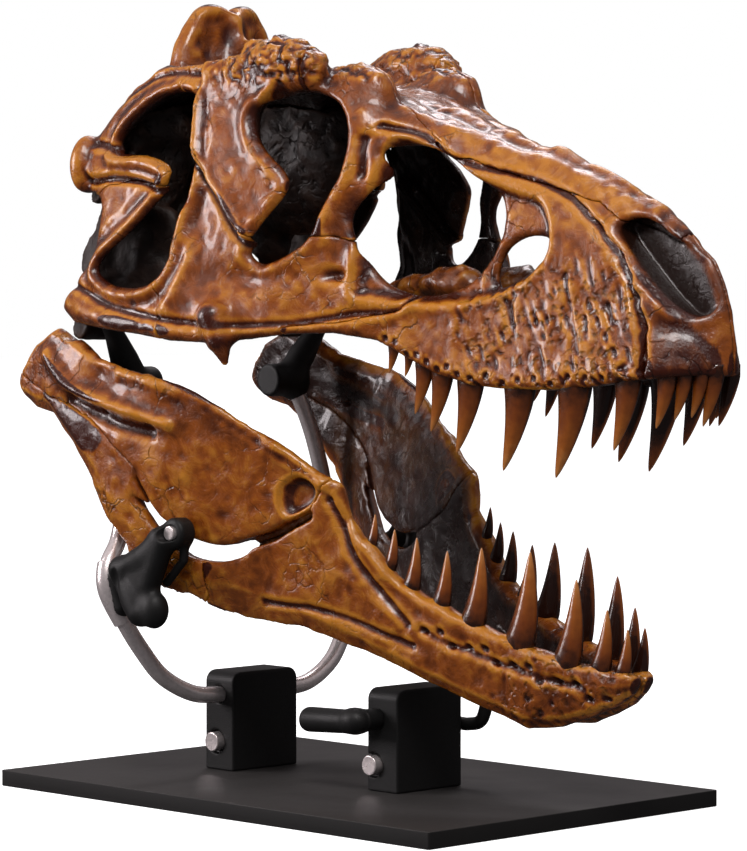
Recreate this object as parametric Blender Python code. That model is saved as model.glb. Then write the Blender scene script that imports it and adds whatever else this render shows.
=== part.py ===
"""Skull of a large tyrannosaur with its jaws open, on a steel museum stand.

Metres, +Z up.  +X is towards the snout and +Y is the animal's left.  The origin
is the middle of the base plate's underside.

The cranium is modelled whole: a hollow loft whose half width follows the side
wall, trimmed to the side profile, pierced by the openings, and then parted into
its bones by thin cuts along the sutures.  Each lower jaw is a loft along its own
axis, parted the same way.  Teeth are joined to the bone that they grow from.
"""
import math

import bmesh
import bpy
import numpy as np
from mathutils import Matrix, Vector
from mathutils.bvhtree import BVHTree

# ---------------------------------------------------------------- driving sizes
GAP = 0.0004                    # clearance between neighbouring pieces
SUTURE = 0.0006                 # width of the thin cuts that part the bones
FLAT_ANGLE = math.radians(15.0)  # facets of the whole shell flatter than this are merged
TRIM_ANGLE = math.radians(3.0)  # and those of a finished bone or clamp flatter than this
SOLVER = "MANIFOLD"             # the exact solver turns this thin shell inside out

# stand
PLATE = (1.12, 0.74, 0.030)     # length, width, thickness of the base plate
PLATE_ROUND = 0.006
BLOCK = (0.077, 0.165, 0.185)   # length, width, height of each post
BLOCK_ROUND = 0.018
REAR_BLOCK_X = -0.271
FRONT_BLOCK_X = 0.161
TUBE_RADIUS = 0.0155
HOOP = [                        # x, y, z along the left arm, from the post up
    (-0.271, 0.0006, 0.172), (-0.271, 0.090, 0.172), (-0.272, 0.152, 0.180),
    (-0.279, 0.216, 0.214), (-0.288, 0.258, 0.264), (-0.298, 0.293, 0.320),
    (-0.312, 0.318, 0.378), (-0.321, 0.311, 0.424), (-0.331, 0.280, 0.462),
    (-0.338, 0.262, 0.508), (-0.346, 0.256, 0.570), (-0.360, 0.240, 0.655),
    (-0.376, 0.215, 0.735)]
SLEEVE = (5, 7)                 # the sleeve covers the tube between these points
SLEEVE_RADIUS = 0.0200
BOLTS = {"rear": (-0.280, 0.083), "front": (0.138, 0.077)}     # x and z on the posts
BOLT_RADIUS = 0.018
BOLT_PROUD = 0.012
# clamps, lever and rest: x, y, z and radius on the left side
JAW_CLAMP_ARM = [(-0.255, 0.336, 0.425, 0.028), (-0.205, 0.327, 0.462, 0.026),
                 (-0.165, 0.312, 0.485, 0.020)]
JAW_CLAMP_LEG = [(-0.240, 0.334, 0.415, 0.026), (-0.212, 0.332, 0.375, 0.027),
                 (-0.190, 0.330, 0.350, 0.020)]
JAW_CLAMP_HOOK = [(-0.168, 0.312, 0.478, 0.020), (-0.145, 0.290, 0.435, 0.021),
                  (-0.138, 0.286, 0.405, 0.014)]
JAW_CLAMP_BOSS = (-0.165, 0.293, 0.485)
JAW_BOSS_LENGTH = 0.036
SKULL_CLAMP_ARM = [(-0.376, 0.190, 0.755, 0.028), (-0.372, 0.228, 0.800, 0.026),
                   (-0.364, 0.258, 0.846, 0.018), (-0.360, 0.284, 0.872, 0.012)]
SKULL_CLAMP_KNOB = (-0.382, 0.140, 0.752)
LEVER_STEM = (0.141, -0.118, 0.160)
LEVER_ARM = [(0.165, -0.125, 0.160, 0.016), (0.155, -0.125, 0.160, 0.024),
             (0.035, -0.125, 0.154, 0.024), (0.016, -0.125, 0.153, 0.018)]
REST_PATH = [(0.165, 0.0835, 0.140), (0.166, 0.104, 0.140), (0.190, 0.111, 0.139),
             (0.222, 0.111, 0.150)]
REST_PLACE = 0.860              # where along the jaw it is held up
REST_PAD = 0.032                # height of the rubber pad
REST_RADIUS = 0.012
RECESS_RADIUS = 0.0225          # round hole that each bolt sits in
RECESS_DEPTH = 0.010
KNOB_RADIUS = 0.032
KNOB_LENGTH = 0.062
BOSS_RADIUS = 0.028
SEAT_DEPTH = 0.008              # how far the clamp's bolt is let in
JAW_BOLT = (0.013, 0.016)       # its radius and length

# cranium, one row for each station along X:
# x, half width at the tooth margin, half width at the roof's edge,
# height of the margin, of the roof's edge and of the roof's middle
CRANIUM = np.array([
    (-0.560, 0.285, 0.190, 0.840, 1.190, 1.240),
    (-0.500, 0.300, 0.200, 0.840, 1.200, 1.260),
    (-0.440, 0.315, 0.215, 0.840, 1.240, 1.290),
    (-0.370, 0.330, 0.220, 0.840, 1.300, 1.320),
    (-0.300, 0.335, 0.218, 0.840, 1.332, 1.330),
    (-0.220, 0.334, 0.212, 0.838, 1.345, 1.330),
    (-0.130, 0.325, 0.202, 0.835, 1.345, 1.325),
    (-0.040, 0.302, 0.190, 0.835, 1.338, 1.315),
    (0.050, 0.272, 0.180, 0.838, 1.320, 1.300),
    (0.130, 0.240, 0.165, 0.842, 1.290, 1.285),
    (0.210, 0.210, 0.147, 0.840, 1.250, 1.265),
    (0.290, 0.184, 0.124, 0.818, 1.205, 1.238),
    (0.370, 0.167, 0.102, 0.782, 1.162, 1.212),
    (0.450, 0.155, 0.086, 0.763, 1.135, 1.187),
    (0.530, 0.145, 0.076, 0.757, 1.108, 1.165),
    (0.610, 0.137, 0.068, 0.758, 1.080, 1.140),
    (0.690, 0.127, 0.061, 0.765, 1.050, 1.105),
    (0.750, 0.118, 0.056, 0.772, 1.015, 1.072),
    (0.800, 0.105, 0.051, 0.779, 0.975, 1.033),
    (0.835, 0.084, 0.046, 0.783, 0.940, 1.000),
    (0.860, 0.063, 0.036, 0.783, 0.912, 0.975),
    (0.880, 0.044, 0.027, 0.782, 0.880, 0.940),
    (0.896, 0.026, 0.016, 0.780, 0.850, 0.895),
    (0.907, 0.012, 0.009, 0.778, 0.815, 0.850),
])
LOFT_FLOOR = 0.70               # the loft runs below the margin and is trimmed
WALL_BULGE = 1.3                # how the side wall leans in towards the roof
WALL = 0.024                    # thickness of the cheek bones
ROOF = 0.040                    # thickness of the roof bones
CAVITY_END = 0.600              # the hollow ends inside the snout here
HOLLOW_STATIONS = (-0.70, -0.44, -0.30, -0.13, 0.05, 0.21, 0.37, 0.53)
SIDE_PROFILE = [                # lower and rear edge of the cranium in side view
    (0.960, 0.790), (0.930, 0.779), (0.866, 0.786), (0.780, 0.778), (0.690, 0.765),
    (0.590, 0.757), (0.500, 0.758), (0.440, 0.763), (0.362, 0.783), (0.300, 0.812),
    (0.250, 0.838), (0.170, 0.850), (0.090, 0.847), (0.020, 0.838), (-0.060, 0.831),
    (-0.140, 0.834), (-0.230, 0.846), (-0.330, 0.855), (-0.420, 0.866), (-0.463, 0.890),
    (-0.452, 0.915), (-0.420, 0.950), (-0.388, 0.990), (-0.376, 1.040), (-0.385, 1.085),
    (-0.425, 1.104), (-0.475, 1.108), (-0.494, 1.145), (-0.497, 1.185), (-0.484, 1.222),
    (-0.452, 1.245), (-0.425, 1.300)]

# openings in side view
NARIS = [(0.698, 1.036), (0.738, 1.047), (0.800, 1.010), (0.850, 0.980), (0.877, 0.945),
         (0.878, 0.900), (0.850, 0.885), (0.805, 0.915), (0.750, 0.968), (0.712, 1.008)]
MAXILLARY_FENESTRA = [(0.462, 0.955), (0.472, 0.992), (0.505, 1.015), (0.545, 1.016),
                      (0.560, 0.998), (0.538, 0.965), (0.500, 0.945), (0.472, 0.932)]
ANTORBITAL_FENESTRA = [
    (0.236, 1.172), (0.300, 1.176), (0.350, 1.153), (0.400, 1.121), (0.444, 1.086),
    (0.458, 1.040), (0.446, 0.990), (0.412, 0.943), (0.355, 0.920), (0.290, 0.924),
    (0.235, 0.956), (0.200, 1.012), (0.188, 1.058), (0.216, 1.096), (0.243, 1.128)]
ORBIT = [(-0.018, 1.245), (0.020, 1.268), (0.075, 1.276), (0.135, 1.252), (0.161, 1.205),
         (0.161, 1.140), (0.138, 1.088), (0.117, 1.025), (0.075, 0.990), (0.031, 0.974),
         (0.005, 0.990), (0.016, 1.014), (0.036, 1.045), (0.075, 1.102), (0.062, 1.138),
         (0.014, 1.178), (-0.012, 1.210)]
TEMPORAL_FENESTRA = [
    (-0.352, 1.180), (-0.358, 1.215), (-0.310, 1.254), (-0.245, 1.281), (-0.182, 1.279),
    (-0.160, 1.225), (-0.146, 1.160), (-0.147, 1.100), (-0.166, 1.025), (-0.172, 0.972),
    (-0.215, 0.935), (-0.300, 0.935), (-0.355, 0.960), (-0.340, 0.988), (-0.275, 1.033),
    (-0.217, 1.088), (-0.192, 1.130), (-0.206, 1.155), (-0.262, 1.172)]
UPPER_TEMPORAL = ((-0.215, 0.118), (0.105, 0.052))   # centre and radii in plan

# sutures in side view; each runs past both ends of the bone that it parts
PREMAXILLA_SUTURE = [(0.558, 1.112), (0.640, 1.056), (0.706, 0.998), (0.751, 0.940),
                     (0.783, 0.870), (0.790, 0.780), (0.791, 0.740)]
NASAL_SUTURE = [(0.330, 1.158), (0.380, 1.154), (0.474, 1.123), (0.572, 1.098),
                (0.650, 1.077), (0.705, 1.040), (0.760, 1.022), (0.800, 1.004),
                (0.816, 1.060)]
LACRIMAL_FRONT_SUTURE = [(0.350, 1.120), (0.352, 1.215)]
LACRIMAL_FOOT_SUTURE = [(0.095, 1.018), (0.160, 1.022), (0.225, 1.005)]
LACRIMAL_TOP_SUTURE = [(0.075, 1.240), (0.070, 1.420)]
MAXILLA_TAIL_SUTURE = [(0.330, 0.945), (0.300, 0.892), (0.200, 0.872), (0.120, 0.866),
                       (0.085, 0.860), (0.070, 0.800)]
POSTORBITAL_SUTURE = [(-0.190, 1.250), (-0.120, 1.160), (-0.075, 1.095), (-0.021, 1.036),
                      (0.045, 1.000)]
QUADRATOJUGAL_SUTURE = [(-0.205, 0.965), (-0.172, 0.900), (-0.150, 0.800)]
SQUAMOSAL_FRONT_SUTURE = [(-0.212, 1.255), (-0.226, 1.420)]
SQUAMOSAL_LOW_SUTURE = [(-0.180, 1.112), (-0.290, 1.127), (-0.360, 1.118), (-0.460, 1.080)]
FRONTAL_SUTURE = [(0.060, 1.180), (0.075, 1.400)]
ROOF_SUTURE = [(-0.600, 0.150), (-0.330, 0.172), (-0.100, 0.128), (0.100, 0.112),
               (0.250, 0.096), (0.420, 0.112)]    # plan view, parts roof from cheek
ROOF_CUT_FLOOR = 1.135

# a place in side view inside each bone of the shell
SIDE_SEEDS = {
    "premaxilla": (0.85, 0.84), "maxilla": (0.60, 0.90), "lacrimal": (0.20, 1.18),
    "jugal": (0.00, 0.90), "quadratojugal": (-0.34, 0.90), "postorbital": (-0.09, 1.25),
    "squamosal": (-0.42, 1.17),
}
MIDLINE_SEEDS = {"nasal": (0.42, 1.19), "skull_roof": (-0.05, 1.31)}
SEPTUM = 0.020                  # half thickness of the wall between the nostrils
INNER_GAP = 0.0015              # between the inner bones and the walls round them
PROFILE_LOWER = 18              # so many points of the side profile are its lower edge

# teeth: place along the jaw and length; the two sides have lost different teeth
TOOTH_NECK = 0.002              # a tooth's half length at its neck, plus
TOOTH_TAPER = 0.225             # this share of its length
TOOTH_CORNER = 1.35             # from that to the corner of its four-sided section
TOOTH_TIP = 0.0012
TOOTH_ROOT = 0.022
TOOTH_CURVE = 0.26              # how far back the tip lies, as a share of the length
TOOTH_INSET = 0.026             # from the bone's outer face to a tooth's middle
UPPER_TEETH = {
    "right": [(0.272, 0.045), (0.301, 0.035), (0.333, 0.085), (0.368, 0.100),
              (0.426, 0.121), (0.528, 0.140), (0.642, 0.152), (0.750, 0.115)],
    "left": [(0.333, 0.070), (0.373, 0.080), (0.430, 0.100), (0.512, 0.110),
             (0.588, 0.130), (0.672, 0.150), (0.748, 0.112)],
}
FRONT_TEETH = [(0.816, 0.084), (0.840, 0.072), (0.861, 0.070), (0.877, 0.084)]
LOWER_TEETH = [(0.712, 0.045), (0.759, 0.057), (0.810, 0.080), (0.875, 0.085),
               (0.944, 0.120), (1.041, 0.147), (1.135, 0.131), (1.195, 0.094),
               (1.232, 0.068)]

# lower jaw, in its own axes from the joint: u along the jaw, v across it
JOINT = (-0.440, 0.795)         # x and z of the jaw joint
JAW_DROP = math.radians(-23.5)  # the jaw's axis below the horizontal
# u, lower edge, upper edge, place across (outer face), thickness
JAW = np.array([
    (-0.106, -0.099, -0.061, 0.312, 0.040),
    (-0.088, -0.118, 0.001, 0.322, 0.052),
    (-0.050, -0.125, 0.049, 0.330, 0.060),
    (0.000, -0.113, 0.055, 0.334, 0.066),
    (0.080, -0.136, 0.050, 0.334, 0.050),
    (0.150, -0.177, 0.066, 0.330, 0.036),
    (0.220, -0.233, 0.086, 0.322, 0.032),
    (0.306, -0.290, 0.092, 0.302, 0.034),
    (0.391, -0.304, 0.084, 0.274, 0.038),
    (0.476, -0.294, 0.068, 0.244, 0.042),
    (0.560, -0.271, 0.052, 0.213, 0.047),
    (0.625, -0.253, 0.048, 0.196, 0.048),
    (0.660, -0.245, 0.000, 0.187, 0.049),
    (0.800, -0.223, -0.062, 0.152, 0.053),
    (0.960, -0.216, -0.062, 0.117, 0.054),
    (1.110, -0.204, -0.046, 0.086, 0.052),
    (1.165, -0.172, -0.039, 0.072, 0.060),
    (1.210, -0.130, -0.024, 0.058, 0.055),
    (1.243, -0.092, -0.016, 0.044, 0.041),
    (1.268, -0.050, -0.018, 0.027, 0.024),
])
JAW_WINDOW = [(0.268, -0.150), (0.330, -0.164), (0.400, -0.172), (0.455, -0.160),
              (0.498, -0.130), (0.505, -0.152), (0.460, -0.190), (0.395, -0.208),
              (0.330, -0.192)]
JAW_CREASE = [(0.480, -0.160), (0.548, -0.090), (0.592, -0.036), (0.618, 0.100)]
ANGULAR_SUTURE = [(0.300, -0.160), (0.250, -0.100), (0.171, -0.072), (0.106, -0.061),
                  (0.000, -0.070), (-0.200, -0.075)]
DENTARY_SUTURE = [(0.420, -0.185), (0.455, -0.260), (0.440, -0.360)]
JAW_SECTION = [(-1.0, 0.50), (-0.62, 0.08), (0.20, 0.0), (0.84, 0.18), (1.0, 0.50),
               (0.72, 0.96), (-0.66, 0.92)]
JAW_SEEDS = {"dentary": (0.90, -0.15), "surangular": (0.20, 0.0), "angular": (0.25, -0.23)}
CONDYLE = (-0.424, 0.862, 0.030)    # x, z and radius of the quadrate's lower end
CONDYLE_SPAN = (0.230, 0.300)       # its reach across, on each side

# crests and bosses on the roof: centre and radii; those of a pair are for the left
CREST = [(0.134, 1.290), (0.123, 1.365), (0.093, 1.422), (0.047, 1.462)]   # y and z
CREST_FRONT = (-0.310, -0.323)  # x of its face and of the rounding behind that
CREST_BACK = (-0.366, -0.378)
CREST_ROUND = 0.010             # how much smaller the faces are
SAGITTAL_CREST = ((-0.260, 0.0, 1.330), (0.125, 0.026, 0.060))
PAIRED_BOSSES = [
    ((-0.010, 0.170, 1.322), (0.118, 0.052, 0.060)),     # brow
    ((0.128, 0.108, 1.272), (0.088, 0.048, 0.056)),      # lacrimal horn
    ((-0.470, 0.228, 1.154), (0.030, 0.042, 0.062)),     # rear corner
]
JUGAL_HORN = [(-0.045, 0.300, 0.880, 0.034), (-0.028, 0.302, 0.838, 0.026),
              (-0.016, 0.300, 0.796, 0.006)]             # x, y, z and radius
TOOTH_RIDGE = 0.021             # radius of the ridge that holds the upper teeth

# palate: x, half width, height at the middle and at the edge
PALATE = np.array([
    (-0.240, 0.110, 0.985, 0.955), (-0.160, 0.120, 0.955, 0.925), (-0.070, 0.150, 0.930, 0.895),
    (0.060, 0.160, 0.920, 0.870), (0.180, 0.140, 0.930, 0.870), (0.300, 0.105, 0.925, 0.862),
    (0.420, 0.082, 0.905, 0.862), (0.520, 0.066, 0.890, 0.862), (0.5985, 0.052, 0.880, 0.866),
])
PALATE_PLATE = 0.020

# colours, roughness and metal
BONE = ((0.36, 0.15, 0.045), 0.32, 0.0)
DARK_BONE = ((0.12, 0.05, 0.025), 0.38, 0.0)
BLACK_STEEL = ((0.012, 0.012, 0.012), 0.62, 0.3)
PLATE_STEEL = ((0.045, 0.044, 0.042), 0.5, 0.3)
BRIGHT_STEEL = ((0.60, 0.58, 0.58), 0.16, 1.0)
RUBBER = ((0.015, 0.015, 0.015), 0.75, 0.0)


# ------------------------------------------------------------------ foundations
def empty_scene():
    for obj in list(bpy.data.objects):
        bpy.data.objects.remove(obj, do_unlink=True)


def new_collection(name):
    collection = bpy.data.collections.new(name)
    bpy.context.scene.collection.children.link(collection)
    return collection


def surface(name, look):
    colour, roughness, metal = look
    material = bpy.data.materials.new(name)
    material.use_nodes = True
    shader = material.node_tree.nodes["Principled BSDF"]
    shader.inputs["Base Color"].default_value = (*colour, 1.0)
    shader.inputs["Roughness"].default_value = roughness
    shader.inputs["Metallic"].default_value = metal
    return material


def add_mesh(name, bm, collection, material=None):
    bmesh.ops.recalc_face_normals(bm, faces=bm.faces)
    if bm.calc_volume(signed=True) < 0:
        bmesh.ops.reverse_faces(bm, faces=bm.faces)
    mesh = bpy.data.meshes.new(name)
    bm.to_mesh(mesh)
    bm.free()
    obj = bpy.data.objects.new(name, mesh)
    collection.objects.link(obj)
    if material:
        mesh.materials.append(material)
    return obj


def remove(obj):
    bpy.data.objects.remove(obj, do_unlink=True)


def settle(obj):
    """Put the evaluated shape of an object into its own mesh."""
    graph = bpy.context.evaluated_depsgraph_get()
    mesh = bpy.data.meshes.new_from_object(obj.evaluated_get(graph))
    obj.modifiers.clear()
    obj.data = mesh


def boolean(obj, tool, operation="DIFFERENCE", keep=False):
    modifier = obj.modifiers.new(operation, "BOOLEAN")
    modifier.operation = operation
    modifier.solver = SOLVER
    modifier.object = tool
    settle(obj)
    if not keep:
        remove(tool)


def ring_loft(name, rings, collection, material=None):
    """A closed solid through rings of equally many points, capped at both ends."""
    bm = bmesh.new()
    verts = [[bm.verts.new(point) for point in ring] for ring in rings]
    count = len(verts[0])
    for near, far in zip(verts, verts[1:]):
        for i in range(count):
            j = (i + 1) % count
            bm.faces.new((near[i], near[j], far[j], far[i]))
    bm.faces.new(verts[0])
    bm.faces.new(list(reversed(verts[-1])))
    bmesh.ops.triangulate(bm, faces=bm.faces)
    return add_mesh(name, bm, collection, material)


def prism(name, outline, low, high, collection, plane="XZ"):
    """A flat outline given in a plane, extruded across that plane."""
    curve = bpy.data.curves.new(name, "CURVE")
    curve.dimensions = "2D"
    curve.fill_mode = "BOTH"
    curve.extrude = (high - low) / 2
    spline = curve.splines.new("POLY")
    spline.points.add(len(outline) - 1)
    for point, (a, b) in zip(spline.points, outline):
        point.co = (a, b, 0.0, 1.0)
    spline.use_cyclic_u = True
    drawn = bpy.data.objects.new(name, curve)
    middle = (high + low) / 2
    if plane == "XZ":
        drawn.matrix_world = (Matrix.Translation((0, middle, 0))
                              @ Matrix.Rotation(math.pi / 2, 4, "X"))
    else:
        drawn.matrix_world = Matrix.Translation((0, 0, middle))
    collection.objects.link(drawn)
    bpy.context.view_layer.update()
    graph = bpy.context.evaluated_depsgraph_get()
    mesh = bpy.data.meshes.new_from_object(drawn.evaluated_get(graph))
    bm = bmesh.new()
    bm.from_mesh(mesh)
    bm.transform(drawn.matrix_world)
    bmesh.ops.remove_doubles(bm, verts=bm.verts, dist=1e-5)
    remove(drawn)
    return add_mesh(name, bm, collection)


def ribbon(name, points, low, high, collection, plane="XZ", width=SUTURE):
    """A thin wall that follows a line in a plane, used to part two bones."""
    line = np.array(points)
    along = np.gradient(line, axis=0)
    along /= np.linalg.norm(along, axis=1)[:, None]
    across = np.stack([-along[:, 1], along[:, 0]], axis=1) * width / 2
    outline = np.concatenate([line + across, (line - across)[::-1]])
    return prism(name, outline, low, high, collection, plane)


def ellipsoid(name, centre, radii, collection, segments, rings):
    bm = bmesh.new()
    bmesh.ops.create_uvsphere(bm, u_segments=segments, v_segments=rings, radius=1.0)
    bm.transform(Matrix.LocRotScale(Vector(centre), None, Vector(radii)))
    return add_mesh(name, bm, collection)


def box(name, centre, size, collection, material, rounding, axis, top_only=False):
    """A box, with the edges that run along one axis rounded."""
    bm = bmesh.new()
    bmesh.ops.create_cube(bm, size=1.0)
    bm.transform(Matrix.LocRotScale(Vector(centre), None, Vector(size)))
    rounded = []
    for edge in bm.edges:
        run = edge.verts[1].co - edge.verts[0].co
        if abs(run[axis]) > 1e-6 and not (top_only and edge.verts[0].co.z < centre[2]):
            rounded.append(edge)
    bmesh.ops.bevel(bm, geom=rounded, offset=rounding, segments=2, profile=0.5, affect="EDGES")
    return add_mesh(name, bm, collection, material)


def rod(name, start, end, radius, collection, material=None, sides=12):
    """A round bar between two points."""
    start, end = Vector(start), Vector(end)
    run = end - start
    bm = bmesh.new()
    bmesh.ops.create_cone(bm, cap_ends=True, segments=sides, radius1=radius,
                          radius2=radius, depth=run.length)
    turn = run.to_track_quat("Z", "Y").to_matrix().to_4x4()
    bm.transform(Matrix.Translation((start + end) / 2) @ turn)
    return add_mesh(name, bm, collection, material)


def tapered_tube(points_and_radii, collection, sides=8, squash=1.0):
    """A closed tube through rows of x, y, z and radius, flattened across Y."""
    rows = np.array(points_and_radii, float)
    path, radii = rows[:, :3], rows[:, 3]
    along = np.gradient(path, axis=0)
    rings = []
    for point, direction, radius in zip(path, along, radii):
        forward = Vector(direction).normalized()
        side = Vector((0, 1, 0)) - forward * forward.y
        if side.length < 0.2:
            side = Vector((1, 0, 0)) - forward * forward.x
        side.normalize()
        other = forward.cross(side)
        rings.append([Vector(point) + side * (radius * squash * math.cos(angle))
                      + other * (radius * math.sin(angle))
                      for angle in np.arange(sides) * math.tau / sides])
    return ring_loft("tube", rings, collection)


def union_all(first, others):
    for other in others:
        boolean(first, other, "UNION")
    return first


def loose_parts(obj):
    """Each separate closed body of a mesh, as (bmesh, centre of its points)."""
    source = bmesh.new()
    source.from_mesh(obj.data)
    source.verts.ensure_lookup_table()
    seen = set()
    parts = []
    for vert in source.verts:
        if vert.index in seen:
            continue
        stack, group = [vert], set()
        seen.add(vert.index)
        while stack:
            at = stack.pop()
            group.add(at)
            for edge in at.link_edges:
                other = edge.other_vert(at)
                if other.index not in seen:
                    seen.add(other.index)
                    stack.append(other)
        piece = bmesh.new()
        copies = {old: piece.verts.new(old.co) for old in group}
        for face in {face for old in group for face in old.link_faces}:
            piece.faces.new([copies[old] for old in face.verts])
        centre = sum((v.co for v in piece.verts), Vector()) / len(piece.verts)
        parts.append((piece, centre))
    source.free()
    return parts


# ---------------------------------------------------------------------- cranium
def station(x, column):
    return float(np.interp(x, CRANIUM[:, 0], CRANIUM[:, column]))


def half_width(x, z):
    """Half width of the cranium's side wall at a place in side view."""
    low, roof = station(x, 1), station(x, 2)
    margin, edge = station(x, 3), station(x, 4)
    rise = min(max((z - margin) / (edge - margin), 0.0), 1.0)
    return low + (roof - low) * rise ** WALL_BULGE


def cranium_ring(x, inset, floor, roof_inset, rows, roof_rows):
    """One section: up the right wall, over the roof and down the left wall."""
    edge = station(x, 4) - roof_inset
    top = max(station(x, 5) - roof_inset, edge - 0.02)
    half = []
    for z in np.linspace(floor, edge, rows):
        half.append((half_width(x, z) - inset, z))
    shoulder = half_width(x, edge) - inset
    for k in range(1, roof_rows):
        angle = math.pi / 2 * k / roof_rows
        half.append((shoulder * math.cos(angle), edge + (top - edge) * math.sin(angle)))
    right = [(x, -y, z) for y, z in half]
    left = [(x, y, z) for y, z in reversed(half)]
    return right + [(x, 0.0, top)] + left


def cranium_loft(name, inset, stations, floor, roof_inset, collection, rows, roof_rows):
    rings = [cranium_ring(x, inset, floor, roof_inset, rows, roof_rows) for x in stations]
    return ring_loft(name, rings, collection)


def tooth(name, base, length, down, back, out, collection):
    """A recurved cone whose root starts inside the bone.

    The directions down, back and out are unit vectors: along the tooth, towards
    the throat, and across the jaw.
    """
    base, down, back, out = (Vector(v) for v in (base, down, back, out))
    thick = TOOTH_CORNER * (TOOTH_NECK + TOOTH_TAPER * length)
    rings = []
    for s in (-TOOTH_ROOT / length, 0.45, 0.97):
        along = max(s, 0.0)
        size = thick * (1.0 - along ** 2.2) + TOOTH_TIP
        centre = base + down * (length * s) + back * (TOOTH_CURVE * length * along ** 1.8)
        rings.append([centre - back * (size * math.cos(a)) + out * (0.7 * size * math.sin(a))
                      for a in (np.arange(4) + 0.5) * math.tau / 4])
    return ring_loft(name, rings, collection)


def crest(tools):
    """The upright plate across the back of the roof, rounded at both faces."""
    half = np.array(CREST)
    whole = np.concatenate([half * (-1, 1), half[::-1]])
    middle = whole.mean(axis=0)
    rings = []
    for x, smaller in zip(CREST_FRONT + CREST_BACK, (CREST_ROUND, 0, 0, CREST_ROUND)):
        shrunk = whole - smaller * np.sign(whole - middle)
        rings.append([(x, y, z) for y, z in shrunk])
    return ring_loft("crest", rings, tools)


def profile_height(x):
    """Height of the cranium's lower edge in side view."""
    lower = SIDE_PROFILE[:PROFILE_LOWER][::-1]
    return float(np.interp(x, [p[0] for p in lower], [p[1] for p in lower]))


def cranium_shell(tools):
    """The whole outer skull in one piece, before it is parted."""
    shell = cranium_loft("cranium", 0.0, CRANIUM[:, 0], LOFT_FLOOR, 0.0, tools, 6, 3)
    frame = SIDE_PROFILE + [(-0.425, 1.60), (0.96, 1.60)]
    boolean(shell, prism("profile", frame, -0.5, 0.5, tools), "INTERSECT")
    bosses = [crest(tools), ellipsoid("sagittal", *SAGITTAL_CREST, tools, 8, 5)]
    for (x, y, z), radii in PAIRED_BOSSES:
        for side in (-1, 1):
            bosses.append(ellipsoid("boss", (x, side * y, z), radii, tools, 8, 5))
    union_all(shell, bosses)
    thin_out(shell, FLAT_ANGLE)

    boolean(shell, hollow_of_cranium(tools, 0.0))
    for side in (-1, 1):
        ridge = [(x, side * (half_width(x, 0.80) - 0.026), profile_height(x) + 0.022,
                  TOOTH_RIDGE) for x in (0.29, 0.36, 0.45, 0.55, 0.64)]
        boolean(shell, tapered_tube(ridge, tools), "UNION")
        horn = [(x, side * y, z, r) for x, y, z, r in JUGAL_HORN]
        boolean(shell, tapered_tube(horn, tools, 6), "UNION")
    boolean(shell, mouth_vault(tools))
    for name, outline in (("orbit", ORBIT), ("antorbital", ANTORBITAL_FENESTRA),
                          ("temporal", TEMPORAL_FENESTRA),
                          ("maxillary", MAXILLARY_FENESTRA)):
        boolean(shell, prism(name, outline, -0.5, 0.5, tools))
    for side in (-1, 1):
        low, high = sorted((side * SEPTUM, side * 0.30))
        boolean(shell, prism("naris", NARIS, low, high, tools))
        (x, y), (along, across) = UPPER_TEMPORAL
        ring = [(x + along * math.cos(a), side * (y + across * math.sin(a)))
                for a in np.arange(10) * math.tau / 10]
        boolean(shell, prism("upper_temporal", ring, 1.1, 1.6, tools, "XY"))
    return shell


def hollow_of_cranium(tools, clearance):
    """The space inside the cheek walls and the roof, less a clearance."""
    stations = HOLLOW_STATIONS + (CAVITY_END - clearance,)
    return cranium_loft("hollow", WALL + clearance, stations, 0.60, ROOF + clearance, tools,
                        4, 2)


def mouth_vault(tools):
    """The vaulted roof of the mouth between the tooth rows."""
    rings = []
    for x in (0.40, 0.52, 0.64, 0.76, 0.81, 0.85):
        margin = station(x, 3)
        wide = station(x, 1) - 0.048
        crown = margin + 0.085 * min(1.0, (0.90 - x) / 0.12)
        ring = [(x, -wide, 0.60)]
        for a in np.linspace(0.0, math.pi, 6):
            ring.append((x, -wide * math.cos(a), margin + (crown - margin) * math.sin(a)))
        ring.append((x, wide, 0.60))
        rings.append(ring)
    return ring_loft("vault", rings, tools)


def part_cranium(shell, tools):
    """Thin cuts along the sutures; each later piece is one closed body."""
    for points in (PREMAXILLA_SUTURE, NASAL_SUTURE, LACRIMAL_FOOT_SUTURE,
                   MAXILLA_TAIL_SUTURE, POSTORBITAL_SUTURE, QUADRATOJUGAL_SUTURE,
                   SQUAMOSAL_LOW_SUTURE):
        boolean(shell, ribbon("cut", points, -0.5, 0.5, tools))
    below_nasals = [(0.55, 0.70), (0.55, 1.104)] + NASAL_SUTURE[3:] + [(0.816, 1.30),
                                                                       (0.97, 1.30), (0.97, 0.70)]
    boolean(shell, prism("midline", below_nasals, -SUTURE / 2, SUTURE / 2, tools))
    boolean(shell, ribbon("cut", FRONTAL_SUTURE, -0.122, 0.122, tools))
    for side in (-1, 1):
        line = [(x, side * y) for x, y in ROOF_SUTURE]
        boolean(shell, ribbon("cut", line, ROOF_CUT_FLOOR, 1.6, tools, "XY"))
        low, high = sorted((side * 0.098, side * 0.5))
        for points in (SQUAMOSAL_FRONT_SUTURE, LACRIMAL_TOP_SUTURE, LACRIMAL_FRONT_SUTURE):
            boolean(shell, ribbon("cut", points, low, high, tools))


def thin_out(obj, angle):
    """Merge facets that meet at less than an angle."""
    modifier = obj.modifiers.new("flat", "DECIMATE")
    modifier.decimate_type = "DISSOLVE"
    modifier.angle_limit = angle
    settle(obj)
    bm = bmesh.new()
    bm.from_mesh(obj.data)
    bmesh.ops.triangulate(bm, faces=bm.faces)
    bm.to_mesh(obj.data)
    bm.free()


def side_name(name, y):
    return name + ("_right" if y < 0 else "_left")


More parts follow.
